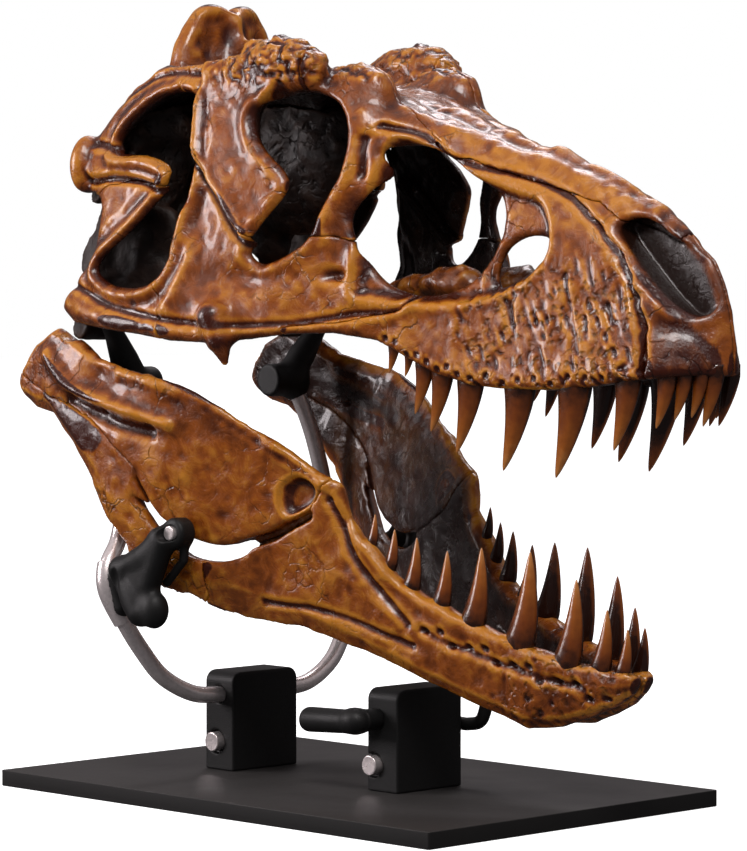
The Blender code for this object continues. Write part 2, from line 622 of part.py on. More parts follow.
def sort_pieces(obj, seeds):
    """Name the pieces of a cut object by the seed that lies inside or nearest.

    A crumb that no seed picks is dropped.
    """
    pieces = loose_parts(obj)
    named = {}
    for name, place in seeds.items():
        def reach(piece):
            tree = BVHTree.FromBMesh(piece)
            hit, normal, index, distance = tree.find_nearest(Vector(place))
            return distance
        named[name] = min((piece for piece, centre in pieces), key=reach)
    remove(obj)
    return named


def keep_largest(obj):
    """Drop the crumbs that a cut left beside the main body."""
    pieces = [piece for piece, centre in loose_parts(obj)]
    bulk = max(pieces, key=lambda piece: piece.calc_volume())
    bulk.to_mesh(obj.data)


def cranium_bones(tools):
    shell = cranium_shell(tools)
    part_cranium(shell, tools)
    seeds = {name: (x, 0.0, z) for name, (x, z) in MIDLINE_SEEDS.items()}
    for name, (x, z) in SIDE_SEEDS.items():
        for side in (-1, 1):
            seeds[side_name(name, side)] = (x, side * half_width(x, z), z)
    return sort_pieces(shell, seeds)


def add_upper_teeth(bones, tools):
    for side, label in ((-1, "right"), (1, "left")):
        for bone, teeth in (("maxilla", UPPER_TEETH[label]), ("premaxilla", FRONT_TEETH)):
            for x, length in teeth:
                y = side * (half_width(x, 0.79) - TOOTH_INSET)
                cone = tooth("tooth", (x, y, profile_height(x)), length, (0, 0, -1),
                             (-1, 0, 0), (0, side, 0), tools)
                boolean(bones[side_name(bone, side)], cone, "UNION")


# -------------------------------------------------------------- inside the skull
def braincase(tools):
    """Braincase with its rostrum, the plate of the occiput and the condyle."""
    body = ellipsoid("braincase", (-0.170, 0.0, 1.175), (0.235, 0.085, 0.150), tools, 8, 5)
    parts = [ellipsoid("occiput", (-0.392, 0.0, 1.155), (0.036, 0.205, 0.185), tools, 8, 5),
             ellipsoid("condyle", (-0.440, 0.0, 1.085), (0.040, 0.036, 0.036), tools, 8, 5),
             tapered_tube([(-0.250, 0.0, 1.060, 0.050), (-0.215, 0.0, 1.010, 0.040)], tools, 6)]
    for side in (-1, 1):
        parts.append(tapered_tube([(-0.395, side * 0.100, 1.150, 0.050),
                                   (-0.462, side * 0.235, 1.125, 0.034)], tools, 6))
    union_all(body, parts)
    boolean(body, hollow_of_cranium(tools, INNER_GAP), "INTERSECT")
    boolean(body, rod("foramen", (-0.60, 0, 1.135), (-0.35, 0, 1.135), 0.019, tools, None, 6))
    return body


def palate(tools):
    """Vomers, palatines and pterygoids: a vaulted plate with two choanae."""
    rings = []
    for x, wide, middle, edge in PALATE:
        upper = [(x, wide * t, middle + (edge - middle) * abs(t)) for t in (-1, 0, 1)]
        lower = [(x, y, z - PALATE_PLATE) for x, y, z in reversed(upper)]
        rings.append(upper + lower)
    plate = ring_loft("palate", rings, tools)
    for side in (-1, 1):
        ridge = [(0.16, side * 0.085, 0.905, 0.030), (0.27, side * 0.080, 0.925, 0.045),
                 (0.36, side * 0.074, 0.925, 0.052), (0.46, side * 0.064, 0.890, 0.022)]
        boolean(plate, tapered_tube(ridge, tools, 6, 0.45), "UNION")
        choana = [(0.25 + 0.085 * math.cos(a), side * (0.038 + 0.018 * math.sin(a)))
                  for a in np.arange(6) * math.tau / 6]
        boolean(plate, prism("choana", choana, 0.80, 1.05, tools, "XY"))
        wing = [(-0.10, side * 0.125, 0.925, 0.030), (-0.17, side * 0.155, 0.955, 0.040),
                (-0.235, side * 0.180, 0.965, 0.042)]
        boolean(plate, tapered_tube(wing, tools, 6, 0.30), "UNION")
    return plate


def quadrate(side, tools):
    """The column between the squamosal and the jaw joint, with its inner wing."""
    column = tapered_tube([(-0.400, side * 0.215, 1.088, 0.026),
                           (-0.398, side * 0.235, 1.030, 0.020),
                           (-0.408, side * 0.250, 0.950, 0.022),
                           (-0.420, side * 0.255, 0.880, 0.030)], tools, 6)
    x, z, radius = CONDYLE
    ends = [(x, side * y, z) for y in CONDYLE_SPAN]
    wing = tapered_tube([(-0.395, side * 0.245, 0.985, 0.056), (-0.330, side * 0.215, 0.985, 0.056),
                         (-0.250, side * 0.185, 0.985, 0.048)], tools, 6, 0.30)
    union_all(column, [rod("condyle", *ends, radius, tools, None, 12), wing])
    boolean(column, hollow_of_cranium(tools, INNER_GAP), "INTERSECT")
    return column


# -------------------------------------------------------------------- lower jaws
def jaw_point(u, v):
    """World x and z of a place given in the jaw's own axes."""
    return (JOINT[0] + u * math.cos(JAW_DROP) - v * math.sin(JAW_DROP),
            JOINT[1] + u * math.sin(JAW_DROP) + v * math.cos(JAW_DROP))


def jaw_value(u, column):
    return float(np.interp(u, JAW[:, 0], JAW[:, column]))


def jaw_ramus(side, tools):
    """One whole lower jaw, its section rounded outside and flatter inside."""
    rings = []
    for u, low, high, outer, thick in JAW:
        thick = min(thick, outer - GAP)
        middle, half = (low + high) / 2, (high - low) / 2
        ring = []
        for rise, across in JAW_SECTION:
            x, z = jaw_point(u, middle + half * rise)
            ring.append((x, side * (outer - thick * across), z))
        rings.append(ring)
    ramus = ring_loft("ramus", rings, tools)
    x, z, radius = CONDYLE
    socket = rod("socket", (x, side * 0.15, z), (x, side * 0.40, z), radius + 0.0015, tools,
                 None, 16)
    boolean(ramus, socket)
    return ramus


def jaw_bones(side, tools):
    ramus = jaw_ramus(side, tools)
    low, high = sorted((side * 0.01, side * 0.5))
    window = [jaw_point(u, v) for u, v in JAW_WINDOW]
    boolean(ramus, prism("window", window, low, high, tools))
    for line in (JAW_CREASE, ANGULAR_SUTURE, DENTARY_SUTURE):
        points = [jaw_point(u, v) for u, v in line]
        boolean(ramus, ribbon("cut", points, low, high, tools))
    seeds = {}
    for name, (u, v) in JAW_SEEDS.items():
        x, z = jaw_point(u, v)
        seeds[side_name(name, side)] = (x, side * jaw_value(u, 3), z)
    return sort_pieces(ramus, seeds)


def add_lower_teeth(dentary, side, tools):
    along = Vector((math.cos(JAW_DROP), 0, math.sin(JAW_DROP)))
    up = Vector((-math.sin(JAW_DROP), 0, math.cos(JAW_DROP)))
    for u, length in LOWER_TEETH:
        x, z = jaw_point(u, jaw_value(u, 2) - 0.004)
        y = side * max(jaw_value(u, 3) - TOOTH_INSET, 0.021)
        cone = tooth("tooth", (x, y, z), length, up, -along, (0, side, 0), tools)
        boolean(dentary, cone, "UNION")


# ------------------------------------------------------------------------- stand
def bore_radius(radius):
    """Radius of an eight-sided bore that clears an eight-sided bar at any turn."""
    return radius / math.cos(math.pi / 8) + GAP


def bar(name, points, radius, collection, material=None):
    """An eight-sided bar along a path: a curve with a bevel and caps, made a mesh."""
    curve = bpy.data.curves.new(name, "CURVE")
    curve.dimensions = "3D"
    curve.bevel_depth = radius
    curve.bevel_resolution = 1
    curve.use_fill_caps = True
    spline = curve.splines.new("POLY")
    spline.points.add(len(points) - 1)
    for point, place in zip(spline.points, points):
        point.co = (*place, 1.0)
    drawn = bpy.data.objects.new(name, curve)
    collection.objects.link(drawn)
    bpy.context.view_layer.update()
    graph = bpy.context.evaluated_depsgraph_get()
    mesh = bpy.data.meshes.new_from_object(drawn.evaluated_get(graph))
    remove(drawn)
    bm = bmesh.new()
    bm.from_mesh(mesh)
    bmesh.ops.remove_doubles(bm, verts=bm.verts, dist=1e-5)
    return add_mesh(name, bm, collection, material)


def base_and_posts(stand, tools, looks):
    length, width, thick = PLATE
    box("stand_base", (0, 0, thick / 2), PLATE, stand, looks["plate"], PLATE_ROUND, 2)
    _, size_y, size_z = BLOCK
    for name, x in (("rear", REAR_BLOCK_X), ("front", FRONT_BLOCK_X)):
        block = box("stand_post_" + name, (x, 0, thick + GAP + size_z / 2), BLOCK, stand,
                    looks["black"], BLOCK_ROUND, 0, top_only=True)
        bolt_x, bolt_z = BOLTS[name]
        face = -size_y / 2
        recess = rod("recess", (bolt_x, face - 0.02, bolt_z), (bolt_x, face + RECESS_DEPTH, bolt_z),
                     RECESS_RADIUS, tools)
        boolean(block, recess)
        rod("stand_bolt_" + name, (bolt_x, face - BOLT_PROUD, bolt_z),
            (bolt_x, face + RECESS_DEPTH - GAP, bolt_z), BOLT_RADIUS, stand, looks["steel"])
        if name == "rear":
            z = HOOP[0][2]
            boolean(block, bar("bore", [(x, -size_y, z), (x, size_y, z)],
                               bore_radius(TUBE_RADIUS), tools))


def hoop_arm(side):
    return [Vector((x, side * y, z)) for x, y, z in HOOP]


def sleeve_path(side):
    first, last = SLEEVE
    return hoop_arm(side)[first:last + 1]


def bore(path, radius, tools):
    """A cutter that follows a bar's own path, so that its corners match."""
    end = path[-1] + (path[-1] - path[-2]).normalized() * 2 * GAP
    return bar("bore", path[:-1] + [end], radius + 2 * GAP, tools)


def sleeve_parts(side, stand, tools, looks):
    """The hoop's arm on one side, with the bright sleeve round it."""
    bar(side_name("stand_hoop", side), hoop_arm(side), TUBE_RADIUS, stand, looks["steel"])
    path = sleeve_path(side)
    sleeve = bar(side_name("stand_sleeve", side), path, SLEEVE_RADIUS, stand, looks["steel"])
    boolean(sleeve, bore(hoop_arm(side), TUBE_RADIUS, tools))


def jaw_clamp(side, stand, tools, looks):
    """Black clamp from the sleeve to the outside of the jaw, with its bolt."""
    def flipped(rows):
        return [(row[0], side * row[1], *row[2:]) for row in rows]
    x, y, z = JAW_CLAMP_BOSS
    sleeve = sleeve_path(side)
    middle = sleeve[1]
    clamp = ellipsoid("clamp", middle, (0.034, 0.034, 0.036), tools, 8, 5)
    arm = [(*middle, 0.024)] + flipped(JAW_CLAMP_ARM)
    boss = rod("boss", (x, side * y, z), (x, side * (y + JAW_BOSS_LENGTH), z), BOSS_RADIUS,
               tools)
    union_all(clamp, [tapered_tube(arm, tools, 5), tapered_tube(flipped(JAW_CLAMP_LEG), tools, 5),
                      tapered_tube(flipped(JAW_CLAMP_HOOK), tools, 5), boss])
    boolean(clamp, bore(sleeve, SLEEVE_RADIUS, tools))
    floor = y + JAW_BOSS_LENGTH - SEAT_DEPTH
    radius, length = JAW_BOLT
    boolean(clamp, rod("seat", (x, side * floor, z), (x, side * (floor + 0.04), z), radius,
                       tools))
    rod(side_name("stand_jaw_bolt", side), (x, side * (floor + GAP), z),
        (x, side * (floor + length), z), radius - GAP, stand, looks["steel"])
    keep_largest(clamp)
    thin_out(clamp, TRIM_ANGLE)
    finish(clamp, side_name("stand_jaw_clamp", side), stand, looks["black"])


def skull_clamp(side, stand, tools, looks):
    """Black clamp on the end of the hoop's arm, with its knob, under the cheek."""
    rows = [(x, side * y, z, radius) for x, y, z, radius in SKULL_CLAMP_ARM]
    arm = hoop_arm(side)
    x, y, z = SKULL_CLAMP_KNOB
    clamp = rod("knob", (x, side * y, z), (x, side * (y + KNOB_LENGTH), z), KNOB_RADIUS, tools)
    top = arm[-1] + Vector((0, 0, 0.012))
    union_all(clamp, [tapered_tube(rows, tools, 5),
                      ellipsoid("cap", top, (0.030, 0.030, 0.036), tools, 8, 5)])
    boolean(clamp, bore(arm, TUBE_RADIUS, tools))
    keep_largest(clamp)
    thin_out(clamp, TRIM_ANGLE)
    finish(clamp, side_name("stand_skull_clamp", side), stand, looks["black"])


def under_jaw(depth):
    """A place that far below the left jaw's lower edge, where it is held up."""
    x, z = jaw_point(REST_PLACE, jaw_value(REST_PLACE, 1) - depth)
    return (x, jaw_value(REST_PLACE, 3) - jaw_value(REST_PLACE, 4) / 2, z)


def lever_and_rest(stand, tools, looks):
    """The hand lever on the front post, and the padded rod under the left jaw."""
    stem = rod("stem", LEVER_STEM, (LEVER_STEM[0], -BLOCK[1] / 2 - GAP, LEVER_STEM[2]), 0.022,
               tools, None, 10)
    boolean(stem, tapered_tube(LEVER_ARM, tools, 10), "UNION")
    finish(stem, "stand_lever", stand, looks["black"])
    rod("stand_jaw_pad", under_jaw(REST_PAD), under_jaw(0.003), 0.024, stand, looks["rubber"])
    path = REST_PATH + [under_jaw(REST_PAD + 0.024), under_jaw(REST_PAD + 0.0005)]
    bar("stand_jaw_rest", path, REST_RADIUS, stand, looks["steel"])


def finish(obj, name, collection, material):
    """Give a finished piece its name, collection and single material."""
    obj.name = name
    for old in obj.users_collection:
        old.objects.unlink(obj)
    collection.objects.link(obj)
    obj.data.materials.clear()
    obj.data.materials.append(material)


def main():
    empty_scene()
    tools = new_collection("cutters")
    skull = new_collection("tyrannosaur_skull")
    stand = new_collection("stand")
    bone = surface("fossil_bone", BONE)
    dark_bone = surface("dark_bone", DARK_BONE)
    looks = {"black": surface("black_steel", BLACK_STEEL), "plate": surface("plate", PLATE_STEEL),
             "steel": surface("bright_steel", BRIGHT_STEEL), "rubber": surface("rubber", RUBBER)}

    bones = cranium_bones(tools)
    named = {name: add_mesh(name, piece, skull, bone) for name, piece in bones.items()}
    add_upper_teeth(named, tools)
    inner = {"braincase": braincase(tools), "palate": palate(tools)}
    for side in (-1, 1):
        inner[side_name("quadrate", side)] = quadrate(side, tools)
        for name, piece in jaw_bones(side, tools).items():
            named[name] = add_mesh(name, piece, skull, bone)
        add_lower_teeth(named[side_name("dentary", side)], side, tools)
    for name, obj in inner.items():
        keep_largest(obj)
        finish(obj, name, skull, dark_bone)
    for obj in skull.objects:
        thin_out(obj, TRIM_ANGLE)
    base_and_posts(stand, tools, looks)
    for side in (-1, 1):
        sleeve_parts(side, stand, tools, looks)
        jaw_clamp(side, stand, tools, looks)
        skull_clamp(side, stand, tools, looks)
    lever_and_rest(stand, tools, looks)


main()
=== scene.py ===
"""Looks of a tyrannosaur skull fossil with open jaws, held by a steel museum stand."""

import math

import bpy
import numpy as np
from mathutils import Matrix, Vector


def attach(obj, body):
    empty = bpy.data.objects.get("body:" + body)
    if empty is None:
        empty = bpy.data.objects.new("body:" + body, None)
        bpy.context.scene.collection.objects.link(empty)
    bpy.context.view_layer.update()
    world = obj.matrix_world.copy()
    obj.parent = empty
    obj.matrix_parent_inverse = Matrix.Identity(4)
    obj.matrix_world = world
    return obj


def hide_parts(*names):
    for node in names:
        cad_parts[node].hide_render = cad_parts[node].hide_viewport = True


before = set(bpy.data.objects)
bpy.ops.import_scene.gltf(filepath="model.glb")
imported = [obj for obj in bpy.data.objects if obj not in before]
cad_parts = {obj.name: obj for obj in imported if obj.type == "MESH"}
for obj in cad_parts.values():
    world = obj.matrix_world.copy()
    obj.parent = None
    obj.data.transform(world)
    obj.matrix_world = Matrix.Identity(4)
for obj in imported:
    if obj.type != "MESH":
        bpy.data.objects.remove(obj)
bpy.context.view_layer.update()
scene = bpy.context.scene

# ---------------------------------------------------------------- room and camera
# A pale seamless floor, a white room, three soft lamps and the camera, which stands
# about seven metres off at chest height.
scene.view_settings.view_transform = "Standard"


def fill(owner, made, inputs):
    """Set the inputs of a node to numbers and colours, or join outputs to them."""
    for key, value in inputs.items():
        if isinstance(value, bpy.types.NodeSocket):
            owner.node_tree.links.new(value, made.inputs[key])
        else:
            made.inputs[key].default_value = value


def node_maker(owner):
    """A short way to add nodes to a material or a world and join them."""
    tree = owner.node_tree

    def node(kind, inputs=(), **settings):
        """A node of that kind; an input is a number, a colour or another's output."""
        made = tree.nodes.new("ShaderNode" + kind)
        for key, value in settings.items():
            setattr(made, key, value)
        fill(owner, made, dict(inputs))
        return made
    return node


world = bpy.data.worlds.new("white_room")
world.use_nodes = True
node = node_maker(world)
backdrop = world.node_tree.nodes["Background"]
fill(world, backdrop, {"Color": (1.0, 1.0, 1.0, 1.0)})
even = node("Background", {"Color": (0.97, 0.96, 1.0, 1.0), "Strength": 0.36})
height = node("SeparateXYZ", {0: node("TexCoord").outputs["Generated"]})
fade = node("MapRange", {0: height.outputs[2], 1: 0.05, 2: 0.95, 3: 0.06, 4: 0.50})
mirrored = node("Background", {"Color": (1.0, 0.90, 0.92, 1.0), "Strength": fade.outputs[0]})
ray = node("LightPath")
lit = node("MixShader", {0: ray.outputs["Is Glossy Ray"], 1: even.outputs[0],
                         2: mirrored.outputs[0]})
seen = node("MixShader", {0: ray.outputs["Is Camera Ray"], 1: lit.outputs[0],
                          2: backdrop.outputs[0]})
fill(world, world.node_tree.nodes["World Output"], {"Surface": seen.outputs[0]})
scene.world = world

floor_mesh = bpy.data.meshes.new("floor")
floor_mesh.from_pydata([(-30, -30, 0), (30, -30, 0), (30, 30, 0), (-30, 30, 0)], [],
                       [(0, 1, 2, 3)])
floor = bpy.data.objects.new("floor", floor_mesh)
scene.collection.objects.link(floor)
floor.location.z = -0.0005
floor.visible_diffuse = floor.visible_glossy = False
floor_look = bpy.data.materials.new("pale_floor")
floor_look.use_nodes = True
fill(floor_look, floor_look.node_tree.nodes["Principled BSDF"], {
    "Base Color": (0.85, 0.85, 0.85, 1), "Roughness": 0.9,
    "Emission Color": (1, 1, 1, 1), "Emission Strength": 0.95})
floor_mesh.materials.append(floor_look)


def soft_lamp(name, place, target, size, power, colour):
    """An area lamp of that width, height and power, turned to its target."""
    light = bpy.data.lights.new(name, "AREA")
    light.shape = "RECTANGLE"
    light.size, light.size_y = size
    light.energy = power
    light.color = colour
    lamp = bpy.data.objects.new(name, light)
    lamp.location = place
    lamp.rotation_euler = (Vector(target) - Vector(place)).to_track_quat("-Z", "Y").to_euler()
    scene.collection.objects.link(lamp)


soft_lamp("key", (2.0, -2.6, 4.6), (0.1, 0, 0.9), (1.6, 1.6), 155, (1.0, 0.96, 0.95))
soft_lamp("side", (-3.6, -3.6, 2.1), (0, 0, 0.8), (1.3, 2.6), 150, (1.0, 0.93, 0.95))
soft_lamp("rim", (-1.6, 2.4, 4.2), (0, 0, 1.0), (1.6, 1.2), 45, (1.0, 0.94, 0.97))

FOCAL_LENGTH, IMAGE_HEIGHT = 3747, 851       # pixels
SENSOR = 36                                  # millimetres
camera_data = bpy.data.cameras.new("camera")
camera_data.lens = FOCAL_LENGTH * SENSOR / IMAGE_HEIGHT
camera = bpy.data.objects.new("camera", camera_data)
camera.location = (4.88690, -4.77801, 0.94396)
turn, drop = math.radians(44.681), math.radians(2.2207)
sight = Vector((-math.cos(drop) * math.cos(turn), math.cos(drop) * math.sin(turn),
                -math.sin(drop)))
camera.rotation_euler = sight.to_track_quat("-Z", "Y").to_euler()
scene.collection.objects.link(camera)
scene.camera = camera

# ---------------------------------------------------------------- cranium, as one field
# The real skull is a shell of thin bones, here given as distances on a grid of cells.
# Its outside is a side wall, a half width at each place in side view, and a roof, a
# height at each place in plan.  Openings, bosses and bars are blended in, so that the
# bone flows from one to the next as it does in the fossil; a single grid surface can't
# carry those holes, so each bone is meshed from the field.
STEP = 0.0038      # edge of a cell


def blend_max(a, b, round_off):
    """The larger of two distances, with the corner between them rounded."""
    h = np.maximum(round_off - np.abs(a - b), 0) / round_off
    return np.maximum(a, b) + h * h * round_off / 4


def blend_min(a, b, round_off):
    """The smaller of two distances, with the crease between them filled."""
    return -blend_max(-a, -b, round_off)


def smooth_line(points, steps=5, closed=True):
    """Points of a Catmull-Rom curve through a few corners."""
    p = np.array(points, float)
    if closed:
        a, b, c, d = (np.roll(p, k, axis=0) for k in (1, 0, -1, -2))
    else:
        q = np.concatenate([[2 * p[0] - p[1]], p, [2 * p[-1] - p[-2]]])
        a, b, c, d = q[:-3], q[1:-2], q[2:-1], q[3:]
    t = (np.arange(steps) / steps)[None, :, None]
    a, b, c, d = (v[:, None] for v in (a, b, c, d))
    out = 0.5 * (2 * b + (c - a) * t + (2 * a - 5 * b + 4 * c - d) * t ** 2
                 + (3 * b - a - 3 * c + d) * t ** 3)
    out = out.reshape(-1, p.shape[1])
    return out if closed else np.concatenate([out, p[-1:]])


def line_distance(points, x, z):
    """Distance from each place to an open line."""
    best = np.full(np.broadcast(x, z).shape, 9.0)
    for (ax, az), (bx, bz) in zip(points[:-1], points[1:]):
        ex, ez = bx - ax, bz - az
        t = np.clip(((x - ax) * ex + (z - az) * ez) / (ex * ex + ez * ez + 1e-12), 0, 1)
        best = np.minimum(best, np.hypot(x - ax - t * ex, z - az - t * ez))
    return best


def outline_distance(points, x, z):
    """Distance from each place to a closed outline, negative inside it."""
    ring = np.concatenate([points, points[:1]])
    inside = np.zeros(np.broadcast(x, z).shape, bool)
    for (ax, az), (bx, bz) in zip(ring[:-1], ring[1:]):
        spans = (az <= z) != (bz <= z)
        inside ^= spans & (x < ax + (z - az) * (bx - ax) / (bz - az + 1e-12))
    best = line_distance(ring, x, z)
    return np.where(inside, -best, best)


def grain(a, b, c, size, seed):
    """Smooth noise from -1 to 1 that changes over about one size."""
    table = np.random.default_rng(seed).random((24, 24, 24)) * 2 - 1
    cells, shares = [], []
    for v in (a, b, c):
        v = np.asarray(v, float) / size + 100
        low = np.floor(v)
        cells.append(low.astype(int))
        t = v - low
        shares.append(t * t * (3 - 2 * t))
    out = 0
    for i in (0, 1):
        for j in (0, 1):
            for k in (0, 1):
                weight = 1
                for share, far in zip(shares, (i, j, k)):
                    weight = weight * (share if far else 1 - share)
                out = out + weight * table[(cells[0] + i) % 24, (cells[1] + j) % 24,
                                           (cells[2] + k) % 24]
    return out


def ramp(value, start, end):
    """0 at start, 1 at end, smooth between."""
    t = np.clip((value - start) / (end - start), 0, 1)
    return t * t * (3 - 2 * t)


def swell(distance, width):
    """1 on a line, dying away over a width on both sides."""
    return np.exp(-(distance / width) ** 2)


# x, half width at the margin and at the roof's edge, height of the margin, of the
# roof's edge and of the roof's middle
STATIONS = np.array([
    (-0.560, 0.285, 0.190, 0.840, 1.190, 1.240), (-0.500, 0.300, 0.200, 0.840, 1.200, 1.260),
    (-0.440, 0.315, 0.215, 0.840, 1.240, 1.290), (-0.370, 0.330, 0.220, 0.840, 1.300, 1.320),
    (-0.300, 0.335, 0.218, 0.840, 1.332, 1.330), (-0.220, 0.334, 0.212, 0.838, 1.345, 1.330),
    (-0.130, 0.325, 0.202, 0.835, 1.345, 1.325), (-0.040, 0.302, 0.190, 0.835, 1.338, 1.315),
    (0.050, 0.272, 0.180, 0.838, 1.320, 1.300), (0.130, 0.240, 0.165, 0.842, 1.290, 1.285),
    (0.210, 0.210, 0.147, 0.840, 1.250, 1.265), (0.290, 0.184, 0.124, 0.818, 1.205, 1.238),
    (0.370, 0.167, 0.102, 0.782, 1.162, 1.212), (0.450, 0.155, 0.086, 0.763, 1.135, 1.187),
    (0.530, 0.145, 0.076, 0.757, 1.108, 1.165), (0.610, 0.137, 0.068, 0.758, 1.080, 1.140),
    (0.690, 0.127, 0.061, 0.765, 1.050, 1.105), (0.750, 0.118, 0.056, 0.772, 1.015, 1.072),
    (0.800, 0.105, 0.051, 0.779, 0.975, 1.033), (0.835, 0.084, 0.046, 0.783, 0.940, 1.000),
    (0.860, 0.063, 0.036, 0.783, 0.912, 0.975), (0.880, 0.044, 0.027, 0.782, 0.880, 0.940),
    (0.896, 0.026, 0.016, 0.780, 0.850, 0.895), (0.907, 0.012, 0.009, 0.778, 0.815, 0.850)])
LOWER_EDGE = [
    (0.960, 0.790), (0.930, 0.779), (0.866, 0.786), (0.780, 0.778), (0.690, 0.765),
    (0.590, 0.757), (0.500, 0.758), (0.440, 0.763), (0.362, 0.783), (0.300, 0.812),
    (0.250, 0.838), (0.170, 0.850), (0.090, 0.847), (0.020, 0.838), (-0.060, 0.831),
    (-0.140, 0.834), (-0.230, 0.846), (-0.330, 0.855), (-0.420, 0.866)]
REAR_EDGE = [
    (-0.463, 0.890), (-0.452, 0.915), (-0.420, 0.950), (-0.388, 0.990), (-0.376, 1.040),
    (-0.385, 1.085), (-0.425, 1.104), (-0.475, 1.108), (-0.494, 1.145), (-0.497, 1.185),
    (-0.484, 1.222), (-0.452, 1.245), (-0.425, 1.300)]
NARIS = smooth_line([
    (0.698, 1.036), (0.738, 1.047), (0.800, 1.010), (0.850, 0.980), (0.877, 0.945),
    (0.878, 0.900), (0.850, 0.885), (0.805, 0.915), (0.750, 0.968), (0.712, 1.008)])
MAXILLARY = smooth_line([
    (0.462, 0.955), (0.472, 0.992), (0.505, 1.015), (0.545, 1.016), (0.560, 0.998),
    (0.538, 0.965), (0.500, 0.945), (0.472, 0.932)])
ANTORBITAL = smooth_line([
    (0.236, 1.172), (0.300, 1.176), (0.350, 1.153), (0.400, 1.121), (0.444, 1.086),
    (0.458, 1.040), (0.446, 0.990), (0.412, 0.943), (0.355, 0.920), (0.290, 0.924),
    (0.235, 0.956), (0.200, 1.012), (0.188, 1.058), (0.216, 1.096), (0.243, 1.128)])
ORBIT = smooth_line([
    (-0.018, 1.245), (0.020, 1.268), (0.075, 1.276), (0.135, 1.252), (0.161, 1.205),
    (0.161, 1.140), (0.138, 1.088), (0.117, 1.025), (0.075, 0.990), (0.031, 0.974),
    (0.005, 0.990), (0.016, 1.014), (0.036, 1.045), (0.075, 1.102), (0.062, 1.138),
    (0.014, 1.178), (-0.012, 1.210)])
TEMPORAL = smooth_line([
    (-0.352, 1.180), (-0.358, 1.215), (-0.310, 1.254), (-0.245, 1.281), (-0.182, 1.279),
    (-0.160, 1.225), (-0.146, 1.160), (-0.147, 1.100), (-0.166, 1.025), (-0.172, 0.972),
    (-0.215, 0.935), (-0.300, 0.935), (-0.355, 0.960), (-0.340, 0.988), (-0.275, 1.033),
    (-0.217, 1.088), (-0.192, 1.130), (-0.206, 1.155), (-0.262, 1.172)])


def station(x, column):
    """A column of the stations' table, read between its rows."""
    return np.interp(x, STATIONS[:, 0], STATIONS[:, column])


def half_width(x, z):
    """Half width of the side wall at a place in side view."""
    low, roof, margin, edge = (station(x, k) for k in (1, 2, 3, 4))
    rise = np.clip((z - margin) / (edge - margin), 0, 1)
    return low + (roof - low) * rise ** 1.3


def margin_height(x):
    """Height of the cranium's lower edge in side view."""
    low = np.array(LOWER_EDGE[::-1])
    return np.interp(x, low[:, 0], low[:, 1])


class Cells:
    """A block of the grid: the places along each axis, and Y without its sign."""

    def __init__(self, low, high, step=STEP):
        """Cells from one corner to the other, on a grid that all blocks share."""
        self.step = step
        self.first = np.floor(np.array(low) / step)
        count = np.ceil(np.array(high) / step) - self.first + 1
        self.axes = [(f + np.arange(int(n))) * step for f, n in zip(self.first, count)]
        self.X, self.Y, self.Z = (v.astype(np.float32) for v in np.meshgrid(
            *self.axes, indexing="ij", sparse=True))

    def window(self, whole):
        """Its place in a larger block, as slices."""
        start = np.rint(self.first - whole.first).astype(int)
        return tuple(slice(a, a + len(v)) for a, v in zip(start, self.axes))

    def ellipsoid(self, centre, radii):
        """Distance to an ellipsoid, near its surface."""
        q = [(v - c) / r for v, c, r in zip((self.X, self.Y, self.Z), centre, radii)]
        flat = np.sqrt(q[0] ** 2 + q[1] ** 2 + q[2] ** 2)
        steep = np.sqrt(sum((a / r) ** 2 for a, r in zip(q, radii)))
        return flat * (flat - 1) / (steep + 1e-6)

    def bars(self, points):
        """Distance to round bars through rows of x, y, z and radius."""
        best = np.float32(9.0)
        place = (self.X, self.Y, self.Z)
        for near, far in zip(points[:-1], points[1:]):
            run = [b - a for a, b in zip(near[:3], far[:3])]
            t = sum((v - a) * e for v, a, e in zip(place, near, run))
            t = np.clip(t / sum(e * e for e in run), 0, 1).astype(np.float32)
            gap = np.sqrt(sum((v - a - t * e) ** 2 for v, a, e in zip(place, near, run)))
            best = np.minimum(best, gap - near[3] - (far[3] - near[3]) * t)
        return best


skull = Cells((-0.600, -0.008, 0.735), (0.945, 0.372, 1.480))
xs, ys, zs = skull.axes
X, Y, Z = skull.X, np.abs(skull.Y), skull.Z
skull.Y = Y
sx, sz = xs[:, None], zs[None, :]            # side view
px, py = xs[:, None], np.abs(ys)[None, :]    # plan


def along_wall(*places):
    """Distance in side view from a smooth line through a few places."""
    return line_distance(smooth_line(places, closed=False), sx, sz)


def patch_of_wall(*places):
    """Distance in side view from a smooth outline, negative inside it."""
    return outline_distance(smooth_line(places), sx, sz)


wall = half_width(sx, sz)
gaps = [outline_distance(o, sx, sz) for o in (ORBIT, ANTORBITAL, TEMPORAL, MAXILLARY)]
nearest = np.min(gaps, axis=0)
lumps = grain(sx, 0, sz, 0.055, 3)
fine = grain(sx, 0, sz, 0.017, 4)
wall += 0.0030 * lumps + 0.0012 * fine

# the deep seam that runs down from above the antorbital opening to the tooth row
SEAM_LINE = smooth_line([
    (0.225, 1.214), (0.297, 1.194), (0.345, 1.162), (0.400, 1.144), (0.470, 1.125),
    (0.545, 1.106), (0.600, 1.080), (0.645, 1.046), (0.690, 1.004), (0.722, 0.974),
    (0.751, 0.925), (0.777, 0.872), (0.788, 0.826), (0.791, 0.775)], closed=False)
seam = line_distance(SEAM_LINE, sx + 0.003 * fine, sz + 0.003 * lumps)
wall += 0.0050 * swell(seam, 0.020) - 0.0150 * swell(seam, 0.0062)

